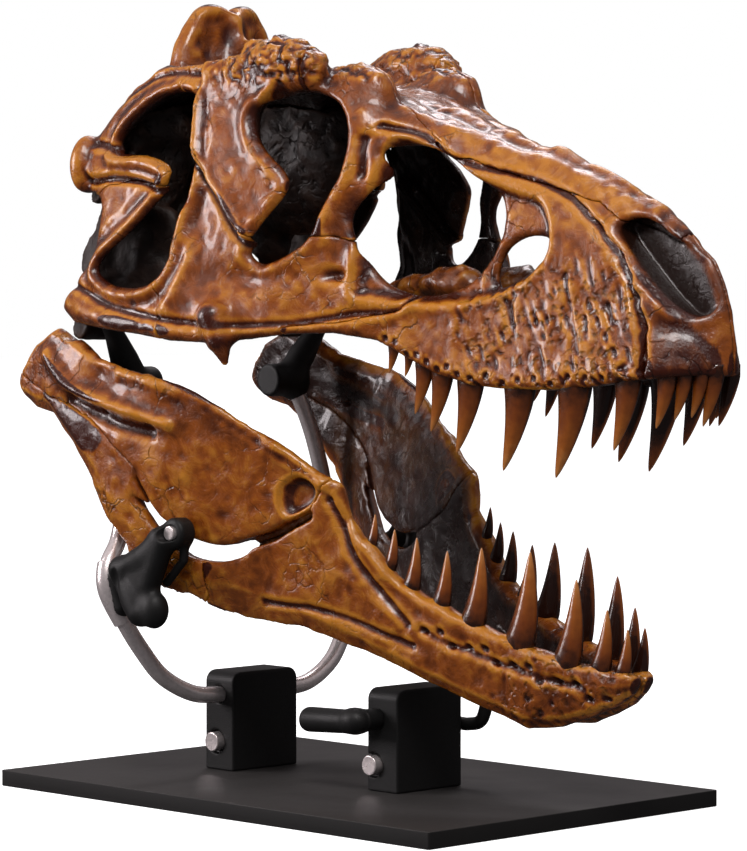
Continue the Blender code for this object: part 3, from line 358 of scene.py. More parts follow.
# the hollow in front of the antorbital opening, and its raised border
fossa = patch_of_wall(
    (0.200, 0.940), (0.255, 0.905), (0.350, 0.897), (0.445, 0.904), (0.510, 0.924),
    (0.560, 0.957), (0.580, 1.002), (0.564, 1.058), (0.535, 1.090), (0.480, 1.106),
    (0.400, 1.132), (0.330, 1.170), (0.240, 1.186))
wall += -0.0150 * ramp(-fossa, 0.0, 0.022) + 0.0045 * swell(fossa, 0.012)

# the postorbital hangs over the bar behind it, its lower end thick and blunt
hanging = patch_of_wall(
    (-0.150, 1.360), (-0.162, 1.300), (-0.163, 1.270), (-0.153, 1.216), (-0.143, 1.175),
    (-0.108, 1.125), (-0.062, 1.078), (-0.012, 1.022), (0.026, 1.008), (0.050, 1.040),
    (0.090, 1.100), (0.080, 1.150), (0.030, 1.190), (0.005, 1.240), (0.040, 1.300),
    (0.060, 1.370))
wall += 0.0170 * ramp(-hanging, -0.001, 0.011) + 0.0040 * swell(hanging + 0.016, 0.009)
wall -= 0.0060 * swell(hanging - 0.004, 0.006)
wall -= 0.0100 * swell(np.hypot((sx + 0.105) / 0.035, (sz - 1.045) / 0.075), 1.0)

# rims of the orbit and of the opening behind it
wall += 0.0060 * swell(gaps[0] - 0.014, 0.013) + 0.0055 * swell(gaps[2] - 0.013, 0.011)
wall -= 0.0050 * swell(gaps[2] - 0.034, 0.013)
# the squamosal's tongue, with a dark slit below it
tongue = patch_of_wall(
    (-0.440, 1.132), (-0.345, 1.132), (-0.264, 1.124), (-0.207, 1.108), (-0.183, 1.132),
    (-0.208, 1.166), (-0.262, 1.178), (-0.330, 1.176), (-0.400, 1.190), (-0.460, 1.190))
wall += 0.0110 * ramp(-tongue, 0.0, 0.012) - 0.0080 * swell(tongue - 0.003, 0.005)

# the furrow over that opening
wall -= 0.0090 * swell(along_wall(
    (-0.400, 1.268), (-0.330, 1.302), (-0.260, 1.322), (-0.180, 1.318)), 0.0065)

# the cheek's lower border: a rolled edge with a furrow above it, and a hollow plate
furrow = along_wall(
    (-0.450, 0.935), (-0.397, 0.927), (-0.311, 0.899), (-0.198, 0.880), (-0.090, 0.868),
    (0.010, 0.864), (0.114, 0.870), (0.206, 0.884), (0.292, 0.893), (0.330, 0.930))
wall -= 0.0075 * swell(furrow, 0.0065)
rolled = line_distance(smooth_line([
    (-0.440, 0.905), (-0.320, 0.876), (-0.200, 0.862), (-0.060, 0.850), (0.090, 0.862),
    (0.220, 0.868), (0.320, 0.905)], closed=False), sx, sz)
wall += 0.0060 * swell(rolled, 0.014)
wall -= 0.0150 * swell(np.hypot((sx + 0.020) / 0.085, (sz - 0.950) / 0.032), 1.0)
wall += 0.0080 * swell(line_distance([(-0.150, 0.900), (-0.120, 0.985), (-0.150, 1.060)],
                                     sx, sz), 0.018)
wall -= 0.0160 * swell(np.hypot((sx - 0.168) / 0.020, (sz - 0.952) / 0.012), 1.0)
wall += 0.0080 * swell(along_wall(
    (0.190, 1.240), (0.195, 1.170), (0.178, 1.110), (0.150, 1.050), (0.150, 1.010)), 0.016)
wall -= 0.0100 * swell(line_distance([(0.200, 1.190), (0.200, 1.130)], sx, sz), 0.009)

# the snout's side: long pits, wrinkles, and a row of holes above the teeth
on_snout = ramp(sx, 0.36, 0.50) * ramp(1.02 - sz, 0.0, 0.10) * ramp(0.80 - sx, 0, 0.04)
pits = grain(sx + sz * 0.35, 0, sz * 0.50, 0.0125, 31)
wrinkles = np.abs(grain(sx + sz * 0.5, 0, sz * 0.45, 0.0200, 32))
wall += on_snout * (0.0032 * wrinkles - 0.0012 - 0.0100 * np.maximum(pits - 0.30, 0))
for k, along in enumerate(np.concatenate([np.arange(0.272, 0.43, 0.021),
                                          np.arange(0.445, 0.79, 0.034)])):
    up = 0.017 + 0.006 * math.sin(2.3 * k)
    spot = np.hypot(sx - along, sz - margin_height(along) - up)
    wall -= 0.0120 * swell(spot, 0.0042)
wall -= 0.0100 * swell(np.hypot((sx - 0.835) / 0.045, (sz - 0.868) / 0.028), 1.0)
front_rim = outline_distance(NARIS, sx, sz)
wall += 0.0050 * swell(front_rim - 0.012, 0.010)

# the roof: a ridge along each edge, lumps down the nose, knobs over the eyes
roof = station(px, 5) + (station(px, 4) - station(px, 5)) * np.clip(
    py / station(px, 2), 0, 1.3) ** 2
on_nose = ramp(px, 0.12, 0.30) * ramp(0.80 - px, 0, 0.15)
roof += 0.0065 * grain(px, py * 0.7, 0, 0.058, 5) + 0.0022 * grain(px, py, 0, 0.017, 6)
roof += on_nose * 0.0065 * swell(py - 0.72 * station(px, 2), 0.020)
roof -= on_nose * 0.0060 * swell(py - 0.30 * station(px, 2), 0.014)
roof -= ramp(-px, -0.06, 0.02) * ramp(px, -0.30, -0.22) * 0.020 * swell(py - 0.055, 0.035)

outside = blend_max((Y - wall[:, None, :].astype(np.float32)) * 0.93,
                    (Z - roof[:, :, None].astype(np.float32)) * 0.93, 0.035)
outside = blend_max(outside, X - 0.905, 0.012)
for centre, radii, spread in (
        ((-0.260, 0.0, 1.330), (0.125, 0.024, 0.062), 0.030),
        ((-0.010, 0.170, 1.318), (0.112, 0.052, 0.058), 0.022),
        ((0.128, 0.108, 1.272), (0.084, 0.046, 0.054), 0.022),
        ((-0.470, 0.228, 1.154), (0.029, 0.040, 0.060), 0.014)):
    outside = blend_min(outside, skull.ellipsoid(centre, radii), spread)

# the upright crest across the back, hollowed on both sides of a ridge at the middle
cy, cz = np.abs(ys)[:, None], zs[None, :]
crest = outline_distance(smooth_line([
    (0.140, 1.230), (0.125, 1.350), (0.104, 1.405), (0.078, 1.442), (0.048, 1.460),
    (0.022, 1.457), (0.0, 1.445), (-0.022, 1.457), (-0.048, 1.460), (-0.078, 1.442),
    (-0.104, 1.405), (-0.125, 1.350), (-0.140, 1.230)], 4), cy, cz)
lean = -0.330 - 0.06 * (cz - 1.36) - 0.35 * cy ** 1.5
thin = 0.026 - 0.015 * swell(np.hypot((cy - 0.058) / 0.034, (cz - 1.390) / 0.050), 1.0)
thin += 0.012 * swell(cy, 0.014) + 0.003 * grain(cy, cz, 0, 0.022, 9)
plate = np.abs(X - lean[None].astype(np.float32)) - thin[None].astype(np.float32)
plate = blend_max(plate, crest[None].astype(np.float32), 0.022)
outside = blend_min(outside, plate, 0.028).astype(np.float32)

# rough bone on the brow and on the knob before it
zone = Cells((-0.14, 0.05, 1.24), (0.22, 0.28, 1.42))
knobs = np.abs(grain(zone.X, zone.Y, zone.Z, 0.024, 7))
knobs = knobs + 0.5 * np.abs(grain(zone.X, zone.Y, zone.Z, 0.012, 8)) - 0.30
rough = np.maximum(swell(np.hypot((zone.X + 0.010) / 0.105, (zone.Y - 0.200) / 0.060), 1.0),
                   0.8 * swell(np.hypot((zone.X - 0.130) / 0.070,
                                        (zone.Y - 0.125) / 0.050), 1.0))
knobs = 0.0170 * knobs * rough * ramp(zone.Z, 1.28, 1.32)
outside[zone.window(skull)] -= knobs.astype(np.float32)

# the shell: hollow inside, with a ridge that holds the teeth and the vault of the mouth,
# cut to the outline in side view and pierced by the openings
thick = 0.022 + 0.30 * ramp(sx, 0.590, 0.640) + 0.016 * ramp(sz, 1.15, 1.25)
thick += 0.016 * swell(seam, 0.022)
hollow = outside + thick[:, None, :].astype(np.float32)
bone = blend_max(outside, -hollow, 0.004)
ridge = [(x, float(half_width(x, 0.80)) - 0.024, float(margin_height(x)) + 0.022, 0.020)
         for x in (0.29, 0.36, 0.45, 0.55, 0.64)]
bone = blend_min(bone, skull.bars(ridge), 0.016)
arch = np.maximum(station(xs, 1) - 0.050, 0.004)[:, None, None].astype(np.float32)
crown = (0.085 * np.clip((0.90 - xs) / 0.12, 0.05, 1))[:, None, None].astype(np.float32)
rise = (Z - station(xs, 3)[:, None, None].astype(np.float32)) / crown
vault = (np.sqrt((Y / arch) ** 2 + np.maximum(rise, 0) ** 2) - 1) * 0.06
vault = np.maximum(vault, np.maximum(0.40 - X, X - 0.850))
bone = blend_max(bone, -vault, 0.008)
profile = LOWER_EDGE[:-1] + [tuple(p) for p in smooth_line(
    LOWER_EDGE[-1:] + REAR_EDGE, closed=False)] + [(-0.425, 1.60), (0.96, 1.60)]
silhouette = outline_distance(np.array(profile), sx, sz)
bone = blend_max(bone, np.minimum(silhouette, 0.1)[:, None, :].astype(np.float32), 0.018)
bone = blend_min(bone, skull.bars([(-0.045, 0.300, 0.876, 0.032), (-0.028, 0.302, 0.838, 0.024),
                                   (-0.016, 0.300, 0.800, 0.007)]), 0.016)
holes = np.minimum(nearest, 0.1)[:, None, :].astype(np.float32)
bone = blend_max(bone, -holes, 0.018)
naris = front_rim[:, None, :].astype(np.float32)
bone = blend_max(bone, -np.maximum(naris, 0.013 - Y), 0.014)
upper = np.sqrt(((X + 0.215) / 0.105) ** 2 + ((Y - 0.118) / 0.052) ** 2) - 1
bone = blend_max(bone, -np.maximum(upper * 0.06, 1.10 - Z), 0.014).astype(np.float32)

# ---------------------------------------------------------------- bones of the cranium
# Each is the part of the field on its own side of its sutures, given in side view and,
# for the roof, in plan; a hair's gap parts it from its neighbours.
SEAM_GAP = 0.0002
MIDLINE = 0.0004                             # half the gap between left and right
SNOUT_SUTURE = [(0.558, 1.112), (0.640, 1.056), (0.706, 0.998), (0.751, 0.940),
                (0.783, 0.870), (0.790, 0.780), (0.791, 0.700)]
TAIL_SUTURE = [(0.330, 0.945), (0.300, 0.892), (0.200, 0.872), (0.120, 0.866),
               (0.085, 0.860), (0.070, 0.800), (0.070, 0.70)]
FOOT_SUTURE = [(0.095, 1.018), (0.160, 1.022), (0.225, 1.005)]
BAR_SUTURE = [(-0.190, 1.250), (-0.120, 1.160), (-0.075, 1.095), (-0.021, 1.036),
              (0.045, 1.000)]
REAR_SUTURE = [(-0.205, 0.965), (-0.172, 0.900), (-0.150, 0.800), (-0.150, 0.70)]
TONGUE_SUTURE = [(-0.60, 1.020), (-0.460, 1.080), (-0.360, 1.118), (-0.290, 1.127),
                 (-0.180, 1.112)]
CHEEKS = {
    "premaxilla": SNOUT_SUTURE + [(0.99, 0.70), (0.99, 1.30), (0.50, 1.30)],
    "maxilla": [(0.351, 1.30), (0.351, 1.00)] + TAIL_SUTURE + SNOUT_SUTURE[::-1] + [
        (0.50, 1.30)],
    "lacrimal": [(0.351, 1.40), (0.351, 1.00)] + FOOT_SUTURE[::-1] + [
        (0.075, 1.100), (0.075, 1.240), (0.070, 1.420)],
    "jugal": TAIL_SUTURE + REAR_SUTURE[::-1] + [
        (-0.178, 1.020), (-0.165, 1.100), (-0.168, 1.170), (-0.175, 1.220)] + BAR_SUTURE + [
        (0.070, 1.010)] + FOOT_SUTURE + [(0.351, 1.000)],
    "quadratojugal": REAR_SUTURE + [(-0.60, 0.70)] + TONGUE_SUTURE + [(-0.185, 1.050)],
    "squamosal": TONGUE_SUTURE + [(-0.175, 1.150), (-0.200, 1.200), (-0.212, 1.255),
                                  (-0.226, 1.60), (-0.60, 1.60)],
    "postorbital": BAR_SUTURE + [(0.075, 1.050), (0.075, 1.240), (0.070, 1.60),
                                 (-0.226, 1.60), (-0.212, 1.255)],
}
NASAL_EDGE = [(0.330, 1.158), (0.380, 1.154), (0.474, 1.123), (0.572, 1.098),
              (0.650, 1.077), (0.705, 1.040), (0.760, 1.022), (0.800, 1.004),
              (0.816, 1.060)]
ROOF_EDGE = np.array([(-0.600, 0.150), (-0.330, 0.172), (-0.100, 0.128), (0.100, 0.112),
                      (0.250, 0.096), (0.420, 0.112)])

warp_x = sx + 0.004 * grain(sx, 0, sz, 0.030, 11)
warp_z = sz + 0.004 * grain(sx, 5, sz, 0.030, 12)
nasal_side = outline_distance(np.array(NASAL_EDGE + [(0.816, 1.60), (0.335, 1.60)]),
                              warp_x, warp_z).astype(np.float32)[:, None, :]
in_plan = py - np.interp(px, ROOF_EDGE[:, 0], ROOF_EDGE[:, 1])
in_plan += 0.004 * grain(px, py, 0, 0.030, 13)
roof_part = np.maximum(in_plan[:, :, None].astype(np.float32), 1.135 - Z)
roof_part = np.maximum(roof_part, X - 0.36)
frontal = (X - 0.066 + 0.006 * grain(0, py, 0, 0.02, 14)[:, :, None]).astype(np.float32)
regions = {"nasal": np.maximum(np.minimum(nasal_side, roof_part), -frontal),
           "skull_roof": np.maximum(roof_part, frontal)}
for name, outline in CHEEKS.items():
    region = outline_distance(np.array(outline), warp_x, warp_z)[:, None, :]
    other = nasal_side if name in ("premaxilla", "maxilla") else roof_part
    regions[name] = np.maximum(region.astype(np.float32), -other)


def surface_net(field, origin, step):
    """Points and quads of the zero surface of a field on a grid.

    Each cell that the surface crosses gets one point, the mean of the places where it
    crosses the cell's edges; each crossed grid edge gets one quad of the four cells
    round it.
    """
    f = np.pad(field, 1, constant_values=1.0)
    inside = f < 0
    corners = [(i, j, k) for i in (0, 1) for j in (0, 1) for k in (0, 1)]
    n = [s - 1 for s in f.shape]
    count = sum(inside[i:i + n[0], j:j + n[1], k:k + n[2]].astype(np.int8)
                for i, j, k in corners)
    cells = np.argwhere((count > 0) & (count < 8))
    number = np.full(n, -1, np.int32)
    number[tuple(cells.T)] = np.arange(len(cells))
    total = np.zeros((len(cells), 3))
    hits = np.zeros(len(cells))
    for axis in range(3):
        for a in (0, 1):
            for b in (0, 1):
                start = np.zeros(3, int)
                start[(axis + 1) % 3], start[(axis + 2) % 3] = a, b
                f0 = f[tuple((cells + start).T)]
                f1 = f[tuple((cells + start + np.eye(3, dtype=int)[axis]).T)]
                cross = (f0 < 0) != (f1 < 0)
                t = np.where(cross, f0 / np.where(cross, f0 - f1, 1), 0)
                place = start + np.eye(3)[axis] * t[:, None]
                total += np.where(cross[:, None], place, 0)
                hits += cross
    points = (cells + total / hits[:, None] - 1) * step + origin
    quads = []
    for axis in range(3):
        low, high = [slice(None)] * 3, [slice(None)] * 3
        low[axis], high[axis] = slice(0, -1), slice(1, None)
        edges = np.argwhere(inside[tuple(low)] != inside[tuple(high)])
        b, c = (axis + 1) % 3, (axis + 2) % 3
        around = []
        for db, dc in ((1, 1), (0, 1), (0, 0), (1, 0)):
            cell = edges.copy()
            cell[:, b] -= db
            cell[:, c] -= dc
            around.append(number[tuple(cell.T)])
        faces = np.stack(around, axis=1)
        entering = ~inside[tuple(edges.T)]
        faces[entering] = faces[entering][:, ::-1]
        quads.append(faces)
    return points, np.concatenate(quads)


def read_field(field, points, origin, step):
    """Value of a field at each point, from the eight samples round it."""
    place = np.clip((points - origin) / step, 0, np.array(field.shape) - 1.001)
    low = place.astype(int)
    t = place - low
    out = 0
    for i in (0, 1):
        for j in (0, 1):
            for k in (0, 1):
                share = ((t[:, 0] if i else 1 - t[:, 0]) * (t[:, 1] if j else 1 - t[:, 1])
                         * (t[:, 2] if k else 1 - t[:, 2]))
                out = out + share * field[low[:, 0] + i, low[:, 1] + j, low[:, 2] + k]
    return out


def mesh_field(field, cells, depth, both=False):
    """Mesh of a field, with how deep each point lies and how much it bulges there.

    The field may cover only the left half; then both mirrors it first.
    """
    step, axes = cells.step, cells.axes
    origin = np.array([a[0] for a in axes])
    if both:
        start = int(np.argmin(np.abs(axes[1])))
        field, depth = (np.concatenate([f[:, :start:-1, :], f[:, start:, :]], axis=1)
                        for f in (field, depth))
        origin[1] = -axes[1][-1]
    hit = np.argwhere(field < 0)
    low = np.maximum(hit.min(axis=0) - 1, 0)
    high = hit.max(axis=0) + 2
    window = tuple(slice(a, b) for a, b in zip(low, high))
    corner = origin + low * step
    points, quads = surface_net(field[window], corner, step)
    deep = -read_field(depth[window], points, corner, step)
    f = np.clip(depth[window], -0.03, 0.03)
    near = sum(np.roll(f, shift, axis) for axis in range(3) for shift in (-2, 2)) / 6
    bulge = read_field((near - f).astype(np.float32), points, corner, step)
    return points, quads, deep, np.clip(bulge * 1.5 / step ** 2 / 110, -1, 1)


def add_piece(name, points, faces, values, material, nodes):
    """A mesh with point values that stands for CAD nodes.

    The faces come as one array for each number of corners; a value is one number for
    all points or one for each.
    """
    faces = [f for f in faces if len(f)]
    a, b, c = (np.concatenate([points[f[:, k]] for f in faces]) for k in (0, 1, 2))
    if np.einsum("ij,ij->", a - points.mean(axis=0), np.cross(b - a, c - a)) < 0:
        faces = [f[:, ::-1] for f in faces]
    sizes = np.concatenate([np.full(len(f), f.shape[1]) for f in faces])
    mesh = bpy.data.meshes.new(name)
    mesh.vertices.add(len(points))
    mesh.vertices.foreach_set("co", np.asarray(points, np.float32).ravel())
    mesh.loops.add(int(sizes.sum()))
    mesh.loops.foreach_set("vertex_index",
                           np.concatenate([f.ravel() for f in faces]).astype(np.int32))
    mesh.polygons.add(len(sizes))
    mesh.polygons.foreach_set("loop_start",
                              np.concatenate([[0], np.cumsum(sizes)[:-1]]).astype(np.int32))
    mesh.polygons.foreach_set("use_smooth", np.ones(len(sizes), bool))
    mesh.update(calc_edges=True)
    for key, value in values.items():
        layer = mesh.attributes.new(key, "FLOAT", "POINT")
        layer.data.foreach_set("value", np.full(len(points), value, np.float32))
    mesh.materials.append(material)
    piece = bpy.data.objects.new(name, mesh)
    scene.collection.objects.link(piece)
    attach(piece, "root")
    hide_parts(*nodes)
    return piece


def both_sides(name, points, quads, values, material, node):
    """A left piece and its mirror image on the right."""
    add_piece(name + "_left", points, [quads], values, material, [node + "_left"])
    add_piece(name + "_right", points * (1, -1, 1), [quads[:, ::-1]], values, material,
              [node + "_right"])


def bone_look(name, dark, mid, light, gloss, coat):
    """Amber fossil bone under varnish: stains, cracks, pits and fine pores.

    The colour runs from dark to light with two noises and the tone of each point, which
    also carries painted shade and painted light; pit floors are darkened and points that lie
    deep are made near black, both as painted shade; cracks follow the borders of crooked
    cells where the broad noise is high.
    """
    material = bpy.data.materials.new(name)
    material.use_nodes = True
    node = node_maker(material)
    place = node("TexCoord").outputs["Object"]
    broad = node("TexNoise", {"Vector": place, "Scale": 7.0, "Detail": 6.0,
                              "Roughness": 0.62, "Distortion": 0.7})
    patch = node("TexNoise", {"Vector": place, "Scale": 27.0, "Detail": 7.0,
                              "Roughness": 0.68, "Distortion": 0.9})
    both = node("Math", {0: broad.outputs[0], 1: patch.outputs[0]}, operation="ADD")
    # the tone attribute mixes real stains with painted shade in hollows and painted light on
    # bulges
    tone_and_shade = node("Attribute", attribute_name="tone_and_shade")
    worn = node("Math", {0: tone_and_shade.outputs["Fac"], 1: both.outputs[0]}, operation="ADD")
    colours = node("ValToRGB", {0: node("MapRange", {0: worn.outputs[0], 1: 0.35,
                                                     2: 1.50}).outputs[0]})
    scale = colours.color_ramp
    scale.elements[0].position, scale.elements[0].color = 0.08, (*dark, 1)
    scale.elements[1].position, scale.elements[1].color = 0.88, (*light, 1)
    scale.elements.new(0.34).color = (*(0.45 * a + 0.55 * b for a, b in zip(mid, dark)), 1)
    scale.elements.new(0.54).color = (*mid, 1)
    wander = node("TexNoise", {"Vector": place, "Scale": 20.0, "Detail": 3.0})
    shift = node("VectorMath", {0: wander.outputs[1], "Scale": 0.06}, operation="SCALE")
    crooked = node("VectorMath", {0: place, 1: shift.outputs[0]}, operation="ADD")
    cells = node("TexVoronoi", {"Vector": crooked.outputs[0], "Scale": 17.0},
                 feature="DISTANCE_TO_EDGE")
    thin = node("MapRange", {0: cells.outputs["Distance"], 1: 0.0, 2: 0.035, 3: 1.0, 4: 0.0})
    where = node("MapRange", {0: broad.outputs[0], 1: 0.50, 2: 0.64, 3: 0.0, 4: 0.8})
    crack = node("Math", {0: thin.outputs[0], 1: where.outputs[0]}, operation="MULTIPLY")
    lined = node("MixRGB", {0: crack.outputs[0], 1: colours.outputs[0],
                            2: tuple(0.3 * v for v in dark) + (1,)})
    pitted = node("Attribute", attribute_name="pitted")
    dents = node("TexVoronoi", {"Vector": crooked.outputs[0], "Scale": 62.0},
                 feature="SMOOTH_F1")
    floor_of = node("MapRange", {0: dents.outputs["Distance"], 1: 0.10, 2: 0.42})
    dent = node("MixRGB", {0: pitted.outputs["Fac"], 1: (1, 1, 1, 1),
                           2: floor_of.outputs[0]})
    # the floors of the pits are darkened here: painted shade
    pit_shaded = node("MixRGB", {0: 1.0, 1: lined.outputs[0], 2: dent.outputs[0]},
                  blend_type="MULTIPLY")
    with_pit_shade = node("MixRGB", {0: 0.7, 1: lined.outputs[0], 2: pit_shaded.outputs[0]})
    # points that lie deep inside the shell get a near-black colour: painted shade
    deep = node("Attribute", attribute_name="deep")
    shaded = node("MixRGB", {0: deep.outputs["Fac"], 1: with_pit_shade.outputs[0],
                             2: (0.014, 0.005, 0.003, 1)})
    rough = node("MapRange", {0: patch.outputs[0], 1: 0.3, 2: 0.7, 3: gloss,
                              4: gloss + 0.18})
    pores = node("TexNoise", {"Vector": place, "Scale": 190.0, "Detail": 4.0})
    height = node("Math", {0: pores.outputs[0], 1: 0.22, 2: patch.outputs[0]},
                  operation="MULTIPLY_ADD")
    height = node("Math", {0: height.outputs[0], 1: crack.outputs[0]}, operation="SUBTRACT")
    coarse = node("Bump", {"Height": dent.outputs[0], "Strength": 0.7, "Distance": 0.006})
    bump = node("Bump", {"Height": height.outputs[0], "Strength": 0.5, "Distance": 0.006,
                         "Normal": coarse.outputs[0]})
    fill(material, material.node_tree.nodes["Principled BSDF"], {
        "Base Color": shaded.outputs[0], "Roughness": rough.outputs[0],
        "Normal": bump.outputs[0], "Specular IOR Level": 0.42, "Coat Weight": coat,
        "Coat Roughness": 0.10})
    return material


fossil = bone_look("fossil_bone", (0.046, 0.007, 0.002), (0.26, 0.062, 0.005),
                   (0.50, 0.185, 0.014), 0.17, 0.4)
# near-black bone for the hidden insides: painted shade
shaded_inner_bone = bone_look("deep_bone", (0.006, 0.003, 0.002), (0.014, 0.006, 0.004),
                       (0.030, 0.012, 0.006), 0.42, 0.0)

border = np.minimum(np.minimum(nearest, front_rim), -silhouette).clip(0, 0.1)
for name, region in regions.items():
    part = np.maximum(bone, region + SEAM_GAP)
    middle = name in ("nasal", "skull_roof")
    if not middle:
        part[:, ys < STEP / 2, :] = np.maximum(part[:, ys < STEP / 2, :], MIDLINE)
    points, quads, deep, bulge = mesh_field(part, skull, outside, middle)
    x, y, z = points.T
    i, k = ((v - a[0]) / STEP for v, a in ((x, xs), (z, zs)))
    i, k = (np.clip(np.rint(v).astype(int), 0, n - 1) for v, n in zip((i, k), border.shape))
    # a real stain towards the snout's tip, and painted shade along the rims of the openings and of
    # the outline
    stain_and_shade = 0.45 * ramp(x, 0.70, 0.86) + 0.35 * swell(border[i, k], 0.016)
    pitted = np.maximum(on_snout[i, k], ramp(z, 1.26, 1.30) * (
        swell(np.hypot((x + 0.010) / 0.120, (np.abs(y) - 0.195) / 0.075), 1.0)
        + 0.5 * swell(np.hypot((x - 0.130) / 0.080, (np.abs(y) - 0.125) / 0.060), 1.0)))
    # tone: painted light on bulges and painted shade in hollows, the stain and rim shade above,
    # painted shade over the roof that grows towards the top, and a darker snout tip; deep: painted
    # shade on points deep inside the shell
    tone_and_shade = 0.60 * bulge - stain_and_shade - 0.15 * ramp(z, 1.12, 1.27) - 0.10 * ramp(x, 0.74, 0.86)
    values = {"deep": ramp(deep, 0.007, 0.019), "tone_and_shade": tone_and_shade, "pitted": pitted}
    if middle:
        add_piece("bone_" + name, points, [quads], values, fossil, [name])
    else:
        both_sides("bone_" + name, points, quads, values, fossil, name)

# ---------------------------------------------------------------- inside the skull
# The braincase with the plate of the occiput, the palate and the quadrates, all given
# dark colours as painted shade: light hardly reaches them.
pocket = Cells((-0.500, -0.008, 0.820), (0.620, 0.300, 1.360))
free = hollow[pocket.window(skull)] + 0.002
pocket.Y = np.abs(pocket.Y)
PX, PY, PZ = pocket.X, pocket.Y, pocket.Z
ripple = (0.0090 * grain(PX, PY, PZ, 0.045, 41) + 0.0040 * grain(PX, PY, PZ, 0.018, 42)
          ).astype(np.float32)

brain = pocket.ellipsoid((-0.170, 0.0, 1.175), (0.230, 0.083, 0.146))
for extra in (pocket.ellipsoid((-0.392, 0.0, 1.155), (0.034, 0.200, 0.180)),
              pocket.ellipsoid((-0.440, 0.0, 1.085), (0.038, 0.034, 0.034)),
              pocket.bars([(-0.250, 0.0, 1.060, 0.048), (-0.215, 0.0, 1.010, 0.038)]),
              pocket.bars([(-0.395, 0.100, 1.150, 0.048), (-0.462, 0.235, 1.125, 0.032)]),
              pocket.bars([(-0.395, 0.090, 1.215, 0.042), (-0.445, 0.205, 1.205, 0.036)])):
    brain = blend_min(brain, extra, 0.020)
brain = np.maximum(brain, 0.019 - np.maximum(np.hypot(PY, PZ - 1.135), PX + 0.35))
brain = np.maximum(brain + ripple, free)
points, quads, _, bulge = mesh_field(brain, pocket, brain, True)
# tone: painted shade in hollows and painted light on bulges
add_piece("bone_braincase", points, [quads], {"tone_and_shade": 0.3 * bulge, "pitted": 0.5},
          shaded_inner_bone, ["braincase"])

PALATE = np.array([
    (-0.240, 0.110, 0.985, 0.955), (-0.160, 0.120, 0.955, 0.925),
    (-0.070, 0.150, 0.930, 0.895), (0.060, 0.160, 0.920, 0.870),
    (0.180, 0.140, 0.930, 0.870), (0.300, 0.105, 0.925, 0.862),
    (0.420, 0.082, 0.905, 0.862), (0.520, 0.066, 0.890, 0.862),
    (0.5985, 0.052, 0.880, 0.866)])
wide, middle, edge = (np.interp(pocket.axes[0], PALATE[:, 0], PALATE[:, k])[:, None, None]
                      for k in (1, 2, 3))
sheet = middle + (edge - middle) * PY / wide - 0.010
palate = blend_max(np.abs(PZ - sheet) - 0.010, (PY - wide) * 0.9, 0.010)
palate = np.maximum(palate, np.maximum(-0.238 - PX, PX - 0.5985))
for rows, spread in (
        ([(0.16, 0.085, 0.905, 0.020), (0.27, 0.080, 0.930, 0.030),
          (0.36, 0.074, 0.935, 0.034), (0.46, 0.064, 0.892, 0.016)], 0.014),
        ([(-0.10, 0.125, 0.925, 0.012), (-0.17, 0.155, 0.955, 0.016),
          (-0.230, 0.180, 0.965, 0.016)], 0.014)):
    palate = blend_min(palate, pocket.bars(rows), spread)
choana = np.sqrt(((PX - 0.25) / 0.085) ** 2 + ((PY - 0.038) / 0.018) ** 2) - 1
palate = blend_max(palate, -choana * 0.02, 0.006)
palate = np.maximum(np.maximum(palate + ripple, free), 0.003 - brain)
palate = palate.astype(np.float32)
points, quads, _, bulge = mesh_field(palate, pocket, palate, True)
# deep and tone here are painted shade: the whole palate darkened, and darker still in hollows
add_piece("bone_palate", points, [quads], {"deep": 0.35, "tone_and_shade": 0.4 * bulge - 0.3},
          fossil, ["palate"])

quadrate = pocket.bars([(-0.400, 0.215, 1.088, 0.025), (-0.398, 0.235, 1.030, 0.019),
                        (-0.408, 0.250, 0.950, 0.021), (-0.420, 0.255, 0.880, 0.029)])
quadrate = blend_min(quadrate, pocket.bars([(-0.424, 0.232, 0.862, 0.029),
                                            (-0.424, 0.298, 0.862, 0.029)]), 0.010)
fin = pocket.bars([(-0.395, 0.245, 0.985, 0.056), (-0.330, 0.215, 0.985, 0.058),
                   (-0.240, 0.180, 0.990, 0.054)])
fin = blend_min(fin, pocket.bars([(-0.400, 0.245, 0.915, 0.030), (-0.330, 0.215, 0.920, 0.034),
                                  (-0.250, 0.185, 0.935, 0.034)]), 0.020)
fin = blend_min(fin, pocket.bars([(-0.385, 0.240, 1.060, 0.036), (-0.290, 0.200, 1.050, 0.030)]),
                0.020)
run = (PY - 0.245 + (PX + 0.395) * 0.414) * 0.92
quadrate = blend_min(quadrate, blend_max(fin, np.abs(run) - 0.013, 0.010), 0.014)
quadrate = np.maximum(np.maximum(quadrate + ripple * 0.6, free), 0.003 - brain)
quadrate = np.maximum(quadrate, 0.003 - palate).astype(np.float32)
points, quads, _, bulge = mesh_field(quadrate, pocket, quadrate)
# tone: painted shade in hollows and painted light on bulges
both_sides("bone_quadrate", points, quads, {"tone_and_shade": 0.3 * bulge}, shaded_inner_bone, "quadrate")

# ---------------------------------------------------------------- lower jaws
# Three bones on each side, in the jaw's own axes: u along it from the joint, v up
# across it.  The face that shows is rounded, the inner one nearly flat.
JOINT = (-0.440, 0.795)
JAW_TURN = math.radians(-23.5)
